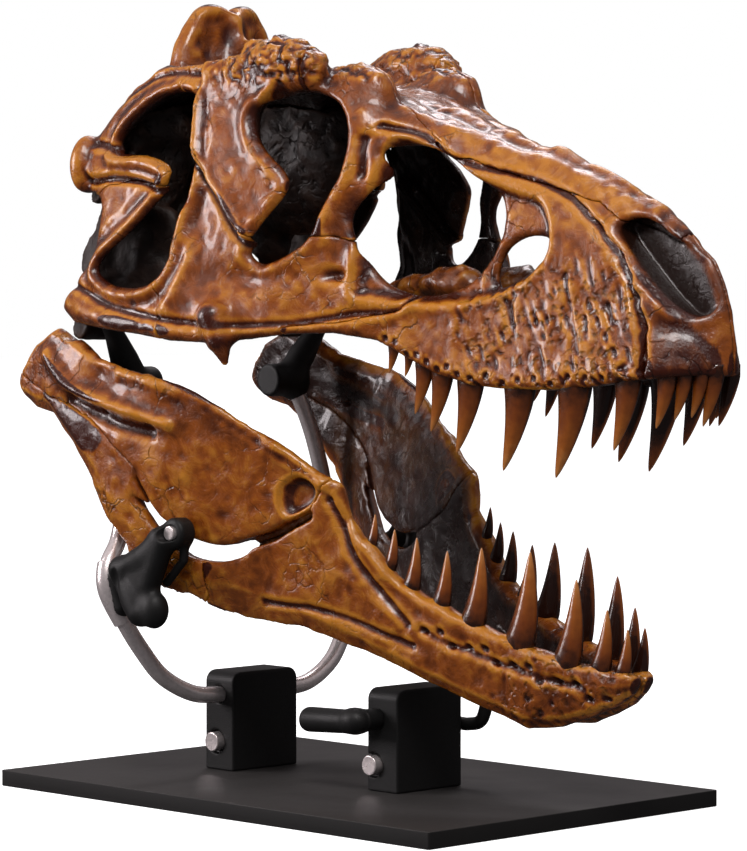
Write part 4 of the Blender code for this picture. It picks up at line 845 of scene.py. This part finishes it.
# u, lower edge, upper edge, place of the outer face, thickness
JAW = np.array([
    (-0.106, -0.099, -0.061, 0.312, 0.040), (-0.088, -0.118, 0.001, 0.322, 0.052),
    (-0.050, -0.125, 0.049, 0.330, 0.060), (0.000, -0.113, 0.055, 0.334, 0.066),
    (0.080, -0.136, 0.050, 0.334, 0.050), (0.150, -0.177, 0.066, 0.330, 0.036),
    (0.220, -0.233, 0.086, 0.322, 0.032), (0.306, -0.290, 0.092, 0.302, 0.034),
    (0.391, -0.304, 0.084, 0.274, 0.038), (0.476, -0.294, 0.068, 0.244, 0.042),
    (0.560, -0.271, 0.052, 0.213, 0.047), (0.625, -0.253, 0.048, 0.196, 0.048),
    (0.660, -0.245, 0.000, 0.187, 0.049), (0.800, -0.223, -0.062, 0.152, 0.053),
    (0.960, -0.216, -0.062, 0.117, 0.054), (1.110, -0.204, -0.046, 0.086, 0.052),
    (1.165, -0.172, -0.039, 0.072, 0.060), (1.210, -0.130, -0.024, 0.058, 0.055),
    (1.243, -0.092, -0.016, 0.044, 0.041), (1.268, -0.050, -0.018, 0.027, 0.024)])
WINDOW = smooth_line([
    (0.268, -0.150), (0.330, -0.164), (0.400, -0.172), (0.455, -0.160), (0.498, -0.130),
    (0.505, -0.152), (0.460, -0.190), (0.395, -0.208), (0.330, -0.192)], 3)
JAW_SUTURE = [(-0.30, -0.070), (-0.200, -0.075), (0.000, -0.070), (0.106, -0.061),
              (0.171, -0.072), (0.250, -0.100), (0.300, -0.160), (0.360, -0.188)]
CREASE = [(0.430, -0.180), (0.480, -0.160), (0.548, -0.090), (0.592, -0.036),
          (0.618, 0.100), (0.620, 0.300)]
DENTARY_SUTURE = [(0.420, -0.185), (0.455, -0.260), (0.440, -0.360), (0.440, -0.500)]
JAW_BONES = {
    "surangular": JAW_SUTURE + CREASE + [(-0.30, 0.300)],
    "angular": JAW_SUTURE + DENTARY_SUTURE + [(-0.30, -0.500)],
    "dentary": DENTARY_SUTURE[:1] + CREASE + [(1.40, 0.300), (1.40, -0.500)]
    + DENTARY_SUTURE[:0:-1],
}

def jaw_value(u, column):
    """A column of the jaw's table, read between its rows."""
    return np.interp(u, JAW[:, 0], JAW[:, column])


def to_world(u, v):
    """World x and z of a place in the jaw's own axes."""
    c, s = math.cos(JAW_TURN), math.sin(JAW_TURN)
    return JOINT[0] + u * c - v * s, JOINT[1] + u * s + v * c


def along_jaw(*places):
    """Distance in side view from a smooth line, in the jaw's own axes."""
    return line_distance(smooth_line(places, closed=False), ju, jv)


ramus = Cells((-0.135, -0.008, -0.330), (1.300, 0.362, 0.128))
us, ws, vs = ramus.axes
U, W, V = ramus.X, ramus.Y, ramus.Z
ju, jv = us[:, None], vs[None, :]
low, high, outer, thickness = (jaw_value(ju, k) for k in (1, 2, 3, 4))
thickness = np.minimum(thickness, outer - 0.0008)
across = np.clip((jv - (low + high) / 2) / ((high - low) / 2), -1, 1)
face = outer - thickness * np.interp(across, (-1, -0.62, 0.2, 0.84, 1),
                                     (0.5, 0.08, 0, 0.18, 0.5))
back = outer - thickness * np.interp(across, (-1, -0.66, 0.72, 1), (0.5, 0.92, 0.96, 0.5))
lumps = grain(ju, 0, jv, 0.050, 21)
fine = grain(ju, 0, jv, 0.017, 22)
face += 0.0030 * lumps + 0.0012 * fine
back -= 0.0040 * grain(ju, 3, jv, 0.060, 25) + 0.0020 * grain(ju, 3, jv, 0.020, 26)
# the shelf below the joint, and the undercut below that
face += 0.0150 * swell(along_jaw((-0.030, 0.000), (0.036, -0.022), (0.081, -0.024),
                                 (0.163, -0.012), (0.251, 0.002), (0.300, 0.010)), 0.014)
face -= 0.0150 * swell(along_jaw((0.060, -0.050), (0.152, -0.042), (0.216, -0.034),
                                 (0.262, -0.022)), 0.013)
face -= 0.0120 * swell(np.hypot((ju - 0.110) / 0.045, (jv - 0.022) / 0.026), 1.0)
# the rolled upper border, with a valley under it
face += 0.0050 * swell(along_jaw((0.154, 0.046), (0.239, 0.066), (0.332, 0.074),
                                 (0.396, 0.072), (0.467, 0.062)), 0.012)
face -= 0.0050 * swell(along_jaw((0.150, 0.062), (0.240, 0.084), (0.330, 0.090),
                                 (0.440, 0.078)), 0.008)
face += 0.0100 * swell(np.hypot(ju - 0.487, jv - 0.060), 0.018)
face += 0.0110 * swell(along_jaw((0.500, 0.060), (0.556, 0.046), (0.602, 0.034)), 0.012)
pit = outline_distance(smooth_line([
    (0.527, -0.006), (0.548, 0.022), (0.588, 0.018), (0.590, -0.015), (0.562, -0.050),
    (0.537, -0.040)]), ju, jv)
face -= 0.0200 * ramp(-pit, -0.004, 0.012)
# the dentary's crease, its furrow of nerve holes and the furrow below that
face -= 0.0085 * swell(along_jaw((0.622, 0.010), (0.657, -0.020), (0.692, -0.056),
                                 (0.735, -0.082), (0.796, -0.110), (0.840, -0.128)), 0.0075)
face += 0.0045 * swell(along_jaw((0.640, 0.010), (0.700, -0.022), (0.780, -0.068),
                                 (0.900, -0.082), (1.000, -0.078), (1.150, -0.060)), 0.015)
face -= 0.0060 * swell(along_jaw((0.870, -0.124), (0.932, -0.122), (1.017, -0.110),
                                 (1.100, -0.096), (1.192, -0.078)), 0.0065)
face -= 0.0070 * swell(along_jaw((0.560, -0.222), (0.600, -0.208), (0.656, -0.188),
                                 (0.737, -0.172), (0.862, -0.160)), 0.0060)
for k, along in enumerate(np.arange(0.875, 1.235, 0.030)):
    spot = np.hypot((ju - along) / 1.5, jv + 0.124 - (along - 0.87) * 0.13
                    - 0.010 * math.sin(2.1 * k))
    face -= 0.0110 * swell(spot, 0.0052)
front = ramp(ju, 0.95, 1.10)
face += front * (0.0030 * grain(ju, 1, jv * 0.6, 0.022, 27)
                 - 0.0050 * np.maximum(grain(ju, 1, jv, 0.014, 28) - 0.2, 0))
teeth_rim = 0.5 + 0.5 * np.cos((ju - 0.62) * 2 * math.pi / 0.075)
high_edge = high - np.where(ju > 0.66, 0.008 * teeth_rim, 0) + 0.002 * fine

jaw = blend_max(W - face[:, None, :], back[:, None, :] - W, 0.012)
edges = blend_max(low - jv, jv - high_edge, 0.01)
jaw = blend_max(jaw, edges[:, None, :], 0.016)
jaw_skin = blend_max(W - face[:, None, :], edges[:, None, :] - 0.004, 0.016)
jaw_skin = jaw_skin.astype(np.float32)
jaw = blend_max(jaw, np.maximum(-0.112 - U, U - 1.268), 0.014)
jaw = blend_max(jaw, -outline_distance(WINDOW, ju, jv)[:, None, :], 0.012)
crevice = line_distance([(0.490, -0.145), (0.535, -0.105), (0.572, -0.060), (0.594, -0.034)],
                        ju, jv) - 0.009
depth = (face - 0.55 * thickness)[:, None, :] - W
jaw = blend_max(jaw, -np.maximum(crevice[:, None, :], depth), 0.008)
jaw = blend_max(jaw, 0.0055 - np.hypot(U - 0.150, V + 0.032), 0.008)
slot = line_distance([(0.262, -0.118), (0.285, -0.138), (0.315, -0.163)], ju, jv) - 0.005
jaw = blend_max(jaw, -slot[:, None, :], 0.008)
cx, cz = -0.424 - JOINT[0], 0.862 - JOINT[1]
c, s = math.cos(JAW_TURN), math.sin(JAW_TURN)
socket = np.hypot(U - (cx * c + cz * s), V - (cz * c - cx * s)) - 0.0315
jaw = np.maximum(jaw, -socket).astype(np.float32)
jaw[:, ws < STEP / 2, :] = np.maximum(jaw[:, ws < STEP / 2, :], MIDLINE)

warp_u = ju + 0.003 * grain(ju, 0, jv, 0.030, 23)
warp_v = jv + 0.003 * grain(ju, 5, jv, 0.030, 24)
for name, outline in JAW_BONES.items():
    region = outline_distance(np.array(outline), warp_u, warp_v)[:, None, :]
    part = np.maximum(jaw, region.astype(np.float32) + SEAM_GAP)
    points, quads, deep, bulge = mesh_field(part, ramus, jaw_skin)
    u, v = points[:, 0], points[:, 2]
    # a real stain towards the jaw's front, darker towards the upper edge and towards the rear end,
    # painted shade in recesses, and a painted shadow under the shelf below the joint
    stain_and_shade = 0.30 * ramp(u, 0.95, 1.20) + 0.25 * ramp(v, 0.01, 0.05)
    stain_and_shade += 0.20 * ramp(0.05 - u, 0, 0.10) + 0.5 * ramp(deep, 0.008, 0.030)
    stain_and_shade += 0.40 * swell(np.hypot((u - 0.13) / 0.11, (v + 0.035) / 0.022), 1.0)
    x, z = to_world(u, v)
    points = np.stack([x, points[:, 1], z], axis=1)
    # deep: painted shade on points that lie deep behind the outer face
    both_sides("bone_" + name, points, quads,
               {"deep": 0.85 * ramp(deep, 0.014, 0.032), "tone_and_shade": 0.60 * bulge - stain_and_shade,
                "pitted": 0.8 * ramp(u, 0.98, 1.12)}, fossil, name)

# ---------------------------------------------------------------- teeth
# Recurved, flattened cones with faint ridges, set in the jaws' edges; the two sides
# have lost different teeth.
UPPER_TEETH = {
    "right": [(0.272, 0.045), (0.301, 0.035), (0.333, 0.085), (0.368, 0.100),
              (0.426, 0.121), (0.528, 0.140), (0.642, 0.152), (0.750, 0.115)],
    "left": [(0.333, 0.070), (0.373, 0.080), (0.430, 0.100), (0.512, 0.110),
             (0.588, 0.130), (0.672, 0.150), (0.748, 0.112)],
}
FRONT_TEETH = [(0.816, 0.084), (0.840, 0.072), (0.861, 0.070), (0.877, 0.084)]
LOWER_TEETH = [(0.712, 0.045), (0.759, 0.057), (0.810, 0.080), (0.875, 0.085),
               (0.944, 0.120), (1.041, 0.147), (1.135, 0.131), (1.195, 0.094),
               (1.232, 0.068)]
TOOTH_BEND = 0.28                            # how far back a tip lies, by its length

enamel = bpy.data.materials.new("tooth_enamel")
enamel.use_nodes = True
node = node_maker(enamel)
where = node("TexCoord").outputs["Object"]
# colour from a dark root to a light tip by along, which is lowered on each tooth's inner side as
# painted shade
along = node("Attribute", attribute_name="along")
streak = node("TexNoise", {"Vector": where, "Scale": 60.0, "Detail": 5.0})
level = node("Math", {0: streak.outputs[0], 1: 0.45, 2: along.outputs["Fac"]},
             operation="MULTIPLY_ADD")
hues = node("ValToRGB", {0: node("MapRange", {0: level.outputs[0], 1: 0.1, 2: 1.4}).outputs[0]})
hues.color_ramp.elements[0].position = 0.06
hues.color_ramp.elements[0].color = (0.022, 0.006, 0.003, 1)
hues.color_ramp.elements[1].position = 0.93
hues.color_ramp.elements[1].color = (0.50, 0.200, 0.050, 1)
hues.color_ramp.elements.new(0.30).color = (0.160, 0.036, 0.005, 1)
hues.color_ramp.elements.new(0.60).color = (0.290, 0.080, 0.009, 1)
relief = node("Bump", {"Height": streak.outputs[0], "Strength": 0.3, "Distance": 0.003})
fill(enamel, enamel.node_tree.nodes["Principled BSDF"], {
    "Base Color": hues.outputs[0], "Normal": relief.outputs[0], "Roughness": 0.22,
    "Coat Weight": 0.4, "Coat Roughness": 0.14})


def ring_faces(rows, columns, first, loop=False):
    """Quads between rings of points, and triangles that close both ends.

    The rings' points come first, then one middle point for each end; a loop of rings
    has no ends.
    """
    i, j = np.meshgrid(np.arange(rows if loop else rows - 1), np.arange(columns),
                       indexing="ij")
    k, n = (j + 1) % columns, (i + 1) % rows
    quads = np.stack([i * columns + j, i * columns + k, n * columns + k, n * columns + j],
                     axis=-1).reshape(-1, 4)
    if loop:
        return [quads + first]
    j = np.arange(columns)
    k, end = (j + 1) % columns, (rows - 1) * columns
    near = np.stack([k, j, np.full(columns, rows * columns)], axis=-1)
    far = np.stack([end + j, end + k, np.full(columns, rows * columns + 1)], axis=-1)
    return [quads + first, np.concatenate([near, far]) + first]


def tooth(base, length, down, back, slender, seed):
    """Rings of a cone along a curve that bends back, and the middle of both ends.

    The ring's size falls as a power of the way left to the tip; each ring is an
    ellipse, pinched to a low keel in front and behind.
    """
    base, down, back = (np.array(v, float) for v in (base, down, back))
    rows, columns = 26, 24
    s = np.linspace(-0.020 / length, 0.992, rows)
    t = np.maximum(s, 0)
    size = (0.002 + slender * length) * (1 - t) ** 0.70 + 0.0004
    angle = np.arange(columns) * 2 * math.pi / columns
    centre = base + s[:, None] * length * down + (TOOTH_BEND * length * t ** 1.6)[:, None] * back
    keel = 1 + 0.05 * np.cos(2 * angle) ** 3 + 0.012 * np.sin(7 * angle + seed)
    ring = np.cos(angle)[:, None] * back + np.sin(angle)[:, None] * np.array([0, 0.76, 0])
    points = centre[:, None, :] + size[:, None, None] * (ring * keel[:, None])[None]
    tip = base + length * down + TOOTH_BEND * length * back
    # the inner side of each tooth gets a lower along value and so a darker colour: painted shade
    # inside the mouth
    inner = np.outer(np.ones(rows), 0.5 - 0.5 * np.sin(angle)).ravel()
    along = np.repeat(t, columns) - 0.6 * ramp(inner, 0.4, 0.8)
    return (np.concatenate([points.reshape(-1, 3), centre[:1], [tip]]),
            ring_faces(rows, columns, 0), np.concatenate([along, [0, 0.8]]))


def row_of_teeth(name, teeth, slender, node_name, side):
    """One mesh of all the teeth that one bone carries on one side."""
    points, quads, fans, alongs, start = [], [], [], [], 0
    for number, (base, length, down, back) in enumerate(teeth):
        places, faces, along = tooth(base, length, down, back, slender, number)
        points.append(places)
        quads.append(faces[0] + start)
        fans.append(faces[1] + start)
        alongs.append(along)
        start += len(places)
    points = np.concatenate(points) * (1, side, 1)
    label = "left" if side > 0 else "right"
    add_piece(name + "_" + label, points, [np.concatenate(quads), np.concatenate(fans)],
              {"along": np.concatenate(alongs)}, enamel, [node_name + "_" + label])


for side, label in ((1, "left"), (-1, "right")):
    for node_name, rows in (("maxilla", UPPER_TEETH[label]), ("premaxilla", FRONT_TEETH)):
        row_of_teeth("teeth_" + node_name, [
            ((x, float(half_width(x, 0.79)) - 0.026, float(margin_height(x))), length,
             (0, 0, -1), (-1, 0, 0)) for x, length in rows], 0.200, node_name, side)
    rows = []
    for u, length in LOWER_TEETH:
        x, z = to_world(u, float(jaw_value(u, 2)) - 0.004)
        y = max(float(jaw_value(u, 3)) - 0.027, 0.022)
        rows.append(((x, y, z), length, (-math.sin(JAW_TURN), 0, math.cos(JAW_TURN)),
                     (-math.cos(JAW_TURN), 0, -math.sin(JAW_TURN))))
    row_of_teeth("teeth_dentary", rows, 0.185, "dentary", side)

# ---------------------------------------------------------------- base plate
# A steel plate, powder-coated charcoal, with its edges just eased; it lies flat on the
# floor and carries both posts.
PLATE = (1.12, 0.74, 0.030)


def coated_look(name, colour, rough, metal, scale, depth):
    """Painted or polished steel with a fine uneven grain, and painted shade on faces marked rim.
    """
    material = bpy.data.materials.new(name)
    material.use_nodes = True
    node = node_maker(material)
    place = node("TexCoord").outputs["Object"]
    fine = node("TexNoise", {"Vector": place, "Scale": scale, "Detail": 4.0})
    broad = node("TexNoise", {"Vector": place, "Scale": 9.0, "Detail": 3.0})
    level = node("MapRange", {0: broad.outputs[0], 1: 0.3, 2: 0.7, 3: rough - 0.04,
                              4: rough + 0.06})
    bump = node("Bump", {"Height": fine.outputs[0], "Strength": 0.35, "Distance": depth})
    tint = node("MixRGB", {0: fine.outputs[0], 1: (*(c * 0.75 for c in colour), 1),
                           2: (*(c * 1.25 for c in colour), 1)})
    # faces marked rim are darkened: painted shade
    rim = node("Attribute", attribute_name="rim")
    tint = node("MixRGB", {0: rim.outputs["Fac"], 1: tint.outputs[0],
                           2: (*(c * 0.35 for c in colour), 1)})
    shader = material.node_tree.nodes["Principled BSDF"]
    fill(material, shader, {"Base Color": tint.outputs[0], "Roughness": level.outputs[0],
                            "Normal": bump.outputs[0], "Metallic": metal})
    if not metal:
        fill(material, shader, {"Specular IOR Level": 0.30})
    return material


black_steel = coated_look("black_steel", (0.0075, 0.0075, 0.0075), 0.50, 0.0, 420.0, 0.0012)
bright_steel = coated_look("bright_steel", (0.90, 0.82, 0.81), 0.24, 0.72, 160.0, 0.0004)
plate_coat = coated_look("base_plate", (0.030, 0.028, 0.027), 0.55, 0.0, 500.0, 0.0006)


def plate_rings(size, ease, corner, columns=48):
    """Rings of a flat slab from its underside to its top.

    In plan each ring is a rectangle with round corners: a superellipse's directions,
    pushed out to a smaller rectangle's corner; its edges are eased by quarter circles.
    """
    length, width, thick = size
    angle = (np.arange(columns) + 0.5) * 2 * math.pi / columns
    turn = np.arange(7) * math.pi / 12
    drops = np.concatenate([[0.02, 0.001], ease * (1 - np.sin(turn)),
                            ease * (1 - np.cos(turn)), [0.001, 0.02]])
    heights = np.concatenate([[0, 0], ease * (1 - np.cos(turn)),
                              thick - ease + ease * np.sin(turn), [thick, thick]])
    drops[:2] += ease
    drops[-2:] += ease
    way = np.stack([np.cos(angle), np.sin(angle)], axis=1)
    core = np.array([length, width]) / 2 - corner
    plan = np.sign(way) * core + corner * way
    rings = plan[None] - np.sign(way)[None] * drops[:, None, None]
    return np.concatenate([rings, np.broadcast_to(heights[:, None, None],
                                                  (len(heights), columns, 1))], axis=2)


rings = plate_rings(PLATE, 0.0016, 0.004)
places = np.concatenate([rings.reshape(-1, 3), [(0, 0, 0), (0, 0, PLATE[2])]])
level = places[:, 2]
# the plate's sides and underside are marked rim, and so darkened: painted shade
add_piece("base_plate", places, ring_faces(rings.shape[0], rings.shape[1], 0),
          {"rim": ramp(PLATE[2] - level, 0.0004, 0.0016)},
          plate_coat, ["stand_base"])

# ---------------------------------------------------------------- posts and their bolts
# Two solid blocks of matt black steel, rounded over the top; each has a hole in its near
# face where a polished bolt head sits, and the rear one is bored for the hoop.
BLOCK = (0.077, 0.165, 0.185)
POSTS = {"rear": -0.271, "front": 0.161}
BOLTS = {"rear": (-0.280, 0.083), "front": (0.138, 0.077)}
POST_ROUND = 0.021
CLEAR = 0.0004                               # between pieces of the stand
FINE = 0.0020      # edge of a cell for the stand's small pieces


def sweep(path, stations, across, columns=36, loop=False):
    """A round bar along a path, from stations of (share of the path, radius).

    At each station a ring lies square to the path: its middle on the path, plus the
    radius times the cosine and sine of the angle along two directions across the path.
    """
    path, (share, radius) = np.array(path, float), np.array(stations, float).T
    way = np.concatenate([[0], np.cumsum(np.linalg.norm(np.diff(path, axis=0), axis=1))])
    way /= way[-1]
    slope = np.gradient(path, way, axis=0)
    middle, run = (np.stack([np.interp(share, way, v[:, k]) for k in range(3)], axis=1)
                   for v in (path, slope))
    run /= np.linalg.norm(run, axis=1)[:, None]
    side = np.cross(run, across)
    side /= np.linalg.norm(side, axis=1)[:, None]
    up = np.cross(side, run)
    angle = (np.arange(columns) * 2 * math.pi / columns)[None, :, None]
    rings = middle[:, None] + radius[:, None, None] * (
        np.cos(angle) * side[:, None] + np.sin(angle) * up[:, None])
    places = rings.reshape(-1, 3)
    if not loop:
        places = np.concatenate([places, middle[:1], middle[-1:]])
    return places, ring_faces(len(share), columns, 0, loop)


def capped(length, radius, ease, count=2):
    """Stations of a plain bar whose ends are eased by quarter circles."""
    turn = np.linspace(0, math.pi / 2, 6)
    drop, along = ease * (1 - np.sin(turn)), ease * (1 - np.cos(turn)) / length
    ends = np.stack([along, radius - drop], axis=1)
    middle = np.stack([np.linspace(ends[-1, 0] + 0.001, 1 - ends[-1, 0] - 0.001, count),
                       np.full(count, radius)], axis=1)
    far = np.stack([1 - along[::-1], (radius - drop)[::-1]], axis=1)
    flat = [(0, (radius - ease) * 0.9)]
    return np.concatenate([flat, ends, middle, far, [(1, (radius - ease) * 0.9)]])


for name, place in POSTS.items():
    block = Cells((place - 0.045, -0.090, 0.026), (place + 0.045, 0.090, 0.222), FINE)
    over_y = np.abs(block.Y) - BLOCK[1] / 2 + POST_ROUND
    over_z = block.Z - PLATE[2] - BLOCK[2] + POST_ROUND
    shape = (np.hypot(np.maximum(over_y, 0), np.maximum(over_z, 0))
             + np.minimum(np.maximum(over_y, over_z), 0) - POST_ROUND)
    shape = blend_max(shape, np.abs(block.X - place) - BLOCK[0] / 2, 0.005)
    shape = np.maximum(shape, PLATE[2] + CLEAR - block.Z)
    bolt_x, bolt_z = BOLTS[name]
    recess = np.hypot(block.X - bolt_x, block.Z - bolt_z) - 0.0225
    shape = blend_max(shape, -np.maximum(recess, block.Y + BLOCK[1] / 2 - 0.010), 0.003)
    if name == "rear":
        bore = np.hypot(block.X - place, block.Z - 0.172) - 0.0162
        shape = blend_max(shape, -(bore + 0 * block.Y), 0.004)
    shape = shape.astype(np.float32)
    points, quads = mesh_field(shape, block, shape)[:2]
    add_piece("post_" + name, points, [quads], {}, black_steel, ["stand_post_" + name])
    head = [(bolt_x, -BLOCK[1] / 2 - 0.012, bolt_z), (bolt_x, -BLOCK[1] / 2 + 0.0095, bolt_z)]
    places, faces = sweep(head, capped(0.0215, 0.018, 0.0022), (0, 0, 1))
    add_piece("bolt_" + name, places, faces, {}, bright_steel, ["stand_bolt_" + name])

# ---------------------------------------------------------------- hoop and sleeves
# One bright steel tube, bent into a hoop: it runs through the rear post, and each arm
# rises beside the jaw and leans in to the skull.  A polished sleeve is slid over each.
HOOP = [
    (-0.271, 0.0006, 0.172), (-0.271, 0.090, 0.172), (-0.272, 0.152, 0.180),
    (-0.279, 0.216, 0.214), (-0.288, 0.258, 0.264), (-0.298, 0.293, 0.320),
    (-0.312, 0.318, 0.378), (-0.321, 0.311, 0.424), (-0.331, 0.280, 0.462),
    (-0.338, 0.262, 0.508), (-0.346, 0.256, 0.570), (-0.360, 0.240, 0.655),
    (-0.376, 0.215, 0.735)]
TUBE_RADIUS, SLEEVE_RADIUS, SLEEVE_BORE = 0.0155, 0.0200, 0.0162
hoop = smooth_line(HOOP, 10, closed=False)
covered = hoop[50:71]
for side, label in ((1, "left"), (-1, "right")):
    places, faces = sweep(hoop, capped(0.85, TUBE_RADIUS, 0.0015, 120), (1, 0, 0))
    add_piece("hoop_" + label, places * (1, side, 1), faces, {}, bright_steel,
              ["stand_hoop_" + label])
    there = np.linspace(0.012, 0.988, 24)
    stations = ([(0, 0.0172), (0, 0.0192), (0.004, SLEEVE_RADIUS)]
                + [(t, SLEEVE_RADIUS) for t in there]
                + [(0.996, SLEEVE_RADIUS), (1, 0.0192), (1, 0.0172), (0.996, SLEEVE_BORE)]
                + [(t, SLEEVE_BORE) for t in there[::-1]] + [(0.004, SLEEVE_BORE)])
    places, faces = sweep(covered, stations, (1, 0, 0), loop=True)
    add_piece("sleeve_" + label, places * (1, side, 1), faces, {}, bright_steel,
              ["stand_sleeve_" + label])

# ---------------------------------------------------------------- jaw clamps
# Cast black clamps: a cup grips the sleeve, a broad arm reaches a round boss with a
# bright bolt let into it beside the jaw, and a lobe below turns the cup tight.
BOSS = (-0.143, 0.490)                       # x and z of the boss and its bolt
grip = Cells((-0.350, 0.240, 0.290), (-0.095, 0.365, 0.535), FINE)
clamp = grip.bars([(-0.268, 0.322, 0.418, 0.025), (-0.216, 0.322, 0.344, 0.027)])
clamp = blend_min(clamp, grip.bars([(-0.300, 0.312, 0.400, 0.020), (-0.285, 0.305, 0.350, 0.020)]),
                  0.012)
clamp = blend_min(clamp, grip.bars([(-0.262, 0.324, 0.418, 0.022), (-0.205, 0.322, 0.446, 0.023),
                                    (-0.146, 0.300, 0.489, 0.022)]), 0.014)
slab = grip.bars([(-0.165, 0.320, 0.474, 0.027), (-0.206, 0.322, 0.402, 0.033),
                  (-0.226, 0.322, 0.366, 0.028)])
slab = blend_max(slab, np.abs(grip.Y - 0.3225) - 0.021, 0.012)
clamp = blend_min(clamp, slab, 0.012)
clamp = blend_min(clamp, grip.ellipsoid((-0.182, 0.322, 0.350), (0.029, 0.025, 0.034)), 0.014)
clamp = blend_min(clamp, grip.bars([(-0.133, 0.291, 0.478, 0.009), (-0.139, 0.288, 0.440, 0.008),
                                    (-0.182, 0.290, 0.398, 0.008)]), 0.010)
boss = np.hypot(grip.X - BOSS[0], grip.Z - BOSS[1]) - 0.0275
clamp = blend_min(clamp, blend_max(boss, np.abs(grip.Y - 0.296) - 0.019, 0.010), 0.008)
clamp = blend_max(clamp, -grip.ellipsoid((-0.262, 0.353, 0.392), (0.012, 0.014, 0.030)), 0.006)
clamp = blend_max(clamp, -(np.maximum(np.hypot(grip.X - BOSS[0], grip.Z - BOSS[1]) - 0.0145,
                                      0.3075 - grip.Y)), 0.003)
bars = [(*place, 0.0206) for place in hoop[44:82:3]]
clamp = np.maximum(clamp, -grip.bars(bars)).astype(np.float32)
points, quads = mesh_field(clamp, grip, clamp)[:2]
both_sides("jaw_clamp", points, quads, {}, black_steel, "stand_jaw_clamp")
for side, label in ((1, "left"), (-1, "right")):
    places, faces = sweep([(BOSS[0], y, BOSS[1]) for y in (0.3080, 0.3220)],
                          capped(0.014, 0.0132, 0.002), (0, 0, 1))
    add_piece("jaw_bolt_" + label, places * (1, side, 1), faces, {}, bright_steel,
              ["stand_jaw_bolt_" + label])

# ---------------------------------------------------------------- skull clamps
# Cast black heads on the ends of the hoop: a round knob on the inside, and an arm that
# reaches up and out to below the cheek.
grip = Cells((-0.435, 0.120, 0.690), (-0.320, 0.320, 0.900), FINE)
clamp = grip.bars([(-0.376, 0.195, 0.755, 0.027), (-0.372, 0.228, 0.800, 0.026),
                   (-0.364, 0.258, 0.846, 0.018), (-0.360, 0.284, 0.872, 0.012)])
clamp = blend_min(clamp, grip.ellipsoid((-0.377, 0.212, 0.748), (0.030, 0.030, 0.036)), 0.014)
knob = np.hypot(grip.X + 0.382, grip.Z - 0.752) - 0.0315
clamp = blend_min(clamp, blend_max(knob, np.abs(grip.Y - 0.174) - 0.028, 0.006), 0.010)
bars = [(*place, 0.0160) for place in hoop[100::3]]
clamp = np.maximum(clamp, -grip.bars(bars)).astype(np.float32)
points, quads = mesh_field(clamp, grip, clamp)[:2]
both_sides("skull_clamp", points, quads, {}, black_steel, "stand_skull_clamp")

# ---------------------------------------------------------------- lever
# The black hand lever that locks the front post: a rounded grip that thins towards its
# eye, on a short stem.
grip = Cells((-0.012, -0.160, 0.120), (0.192, -0.078, 0.196), FINE)
lever = grip.bars([(0.120, -0.126, 0.157, 0.0215), (0.022, -0.126, 0.153, 0.0228)])
lever = blend_max(lever, 0.004 - grip.X, 0.012)
lever = blend_min(lever, grip.ellipsoid((0.136, -0.126, 0.159), (0.030, 0.025, 0.0245)), 0.006)
stem = np.hypot(grip.X - 0.147, grip.Z - 0.160) - 0.0200
stem = np.maximum(stem, np.maximum(-0.118 - grip.Y, grip.Y + BLOCK[1] / 2 + CLEAR))
lever = blend_min(lever, stem, 0.006).astype(np.float32)
points, quads = mesh_field(lever, grip, lever)[:2]
add_piece("lever", points, [quads], {}, black_steel, ["stand_lever"])

# ---------------------------------------------------------------- rest under the jaw
# A thin black steel rod from the front post, bent up under the left jaw.  A rubber pad
# on its end carries the jaw.
rubber = coated_look("rubber", (0.010, 0.010, 0.010), 0.65, 0.0, 300.0, 0.0008)


def under_jaw(depth):
    """A place that far below the left jaw's lower edge, where it is held up."""
    x, z = to_world(0.860, float(jaw_value(0.860, 1)) - depth)
    return x, float(jaw_value(0.860, 3) - jaw_value(0.860, 4) / 2), z


rod = smooth_line([(0.165, 0.0835, 0.140), (0.166, 0.104, 0.140), (0.190, 0.111, 0.139),
                   (0.222, 0.111, 0.150), under_jaw(0.056), under_jaw(0.0325)], 10,
                  closed=False)
places, faces = sweep(rod, capped(0.20, 0.012, 0.001, 50), (0, 0.15, 1))
add_piece("jaw_rest", places, faces, {}, black_steel, ["stand_jaw_rest"])
places, faces = sweep([under_jaw(0.032), under_jaw(0.003)], capped(0.029, 0.024, 0.004),
                      (0, 1, 0))
add_piece("jaw_pad", places, faces, {}, rubber, ["stand_jaw_pad"])
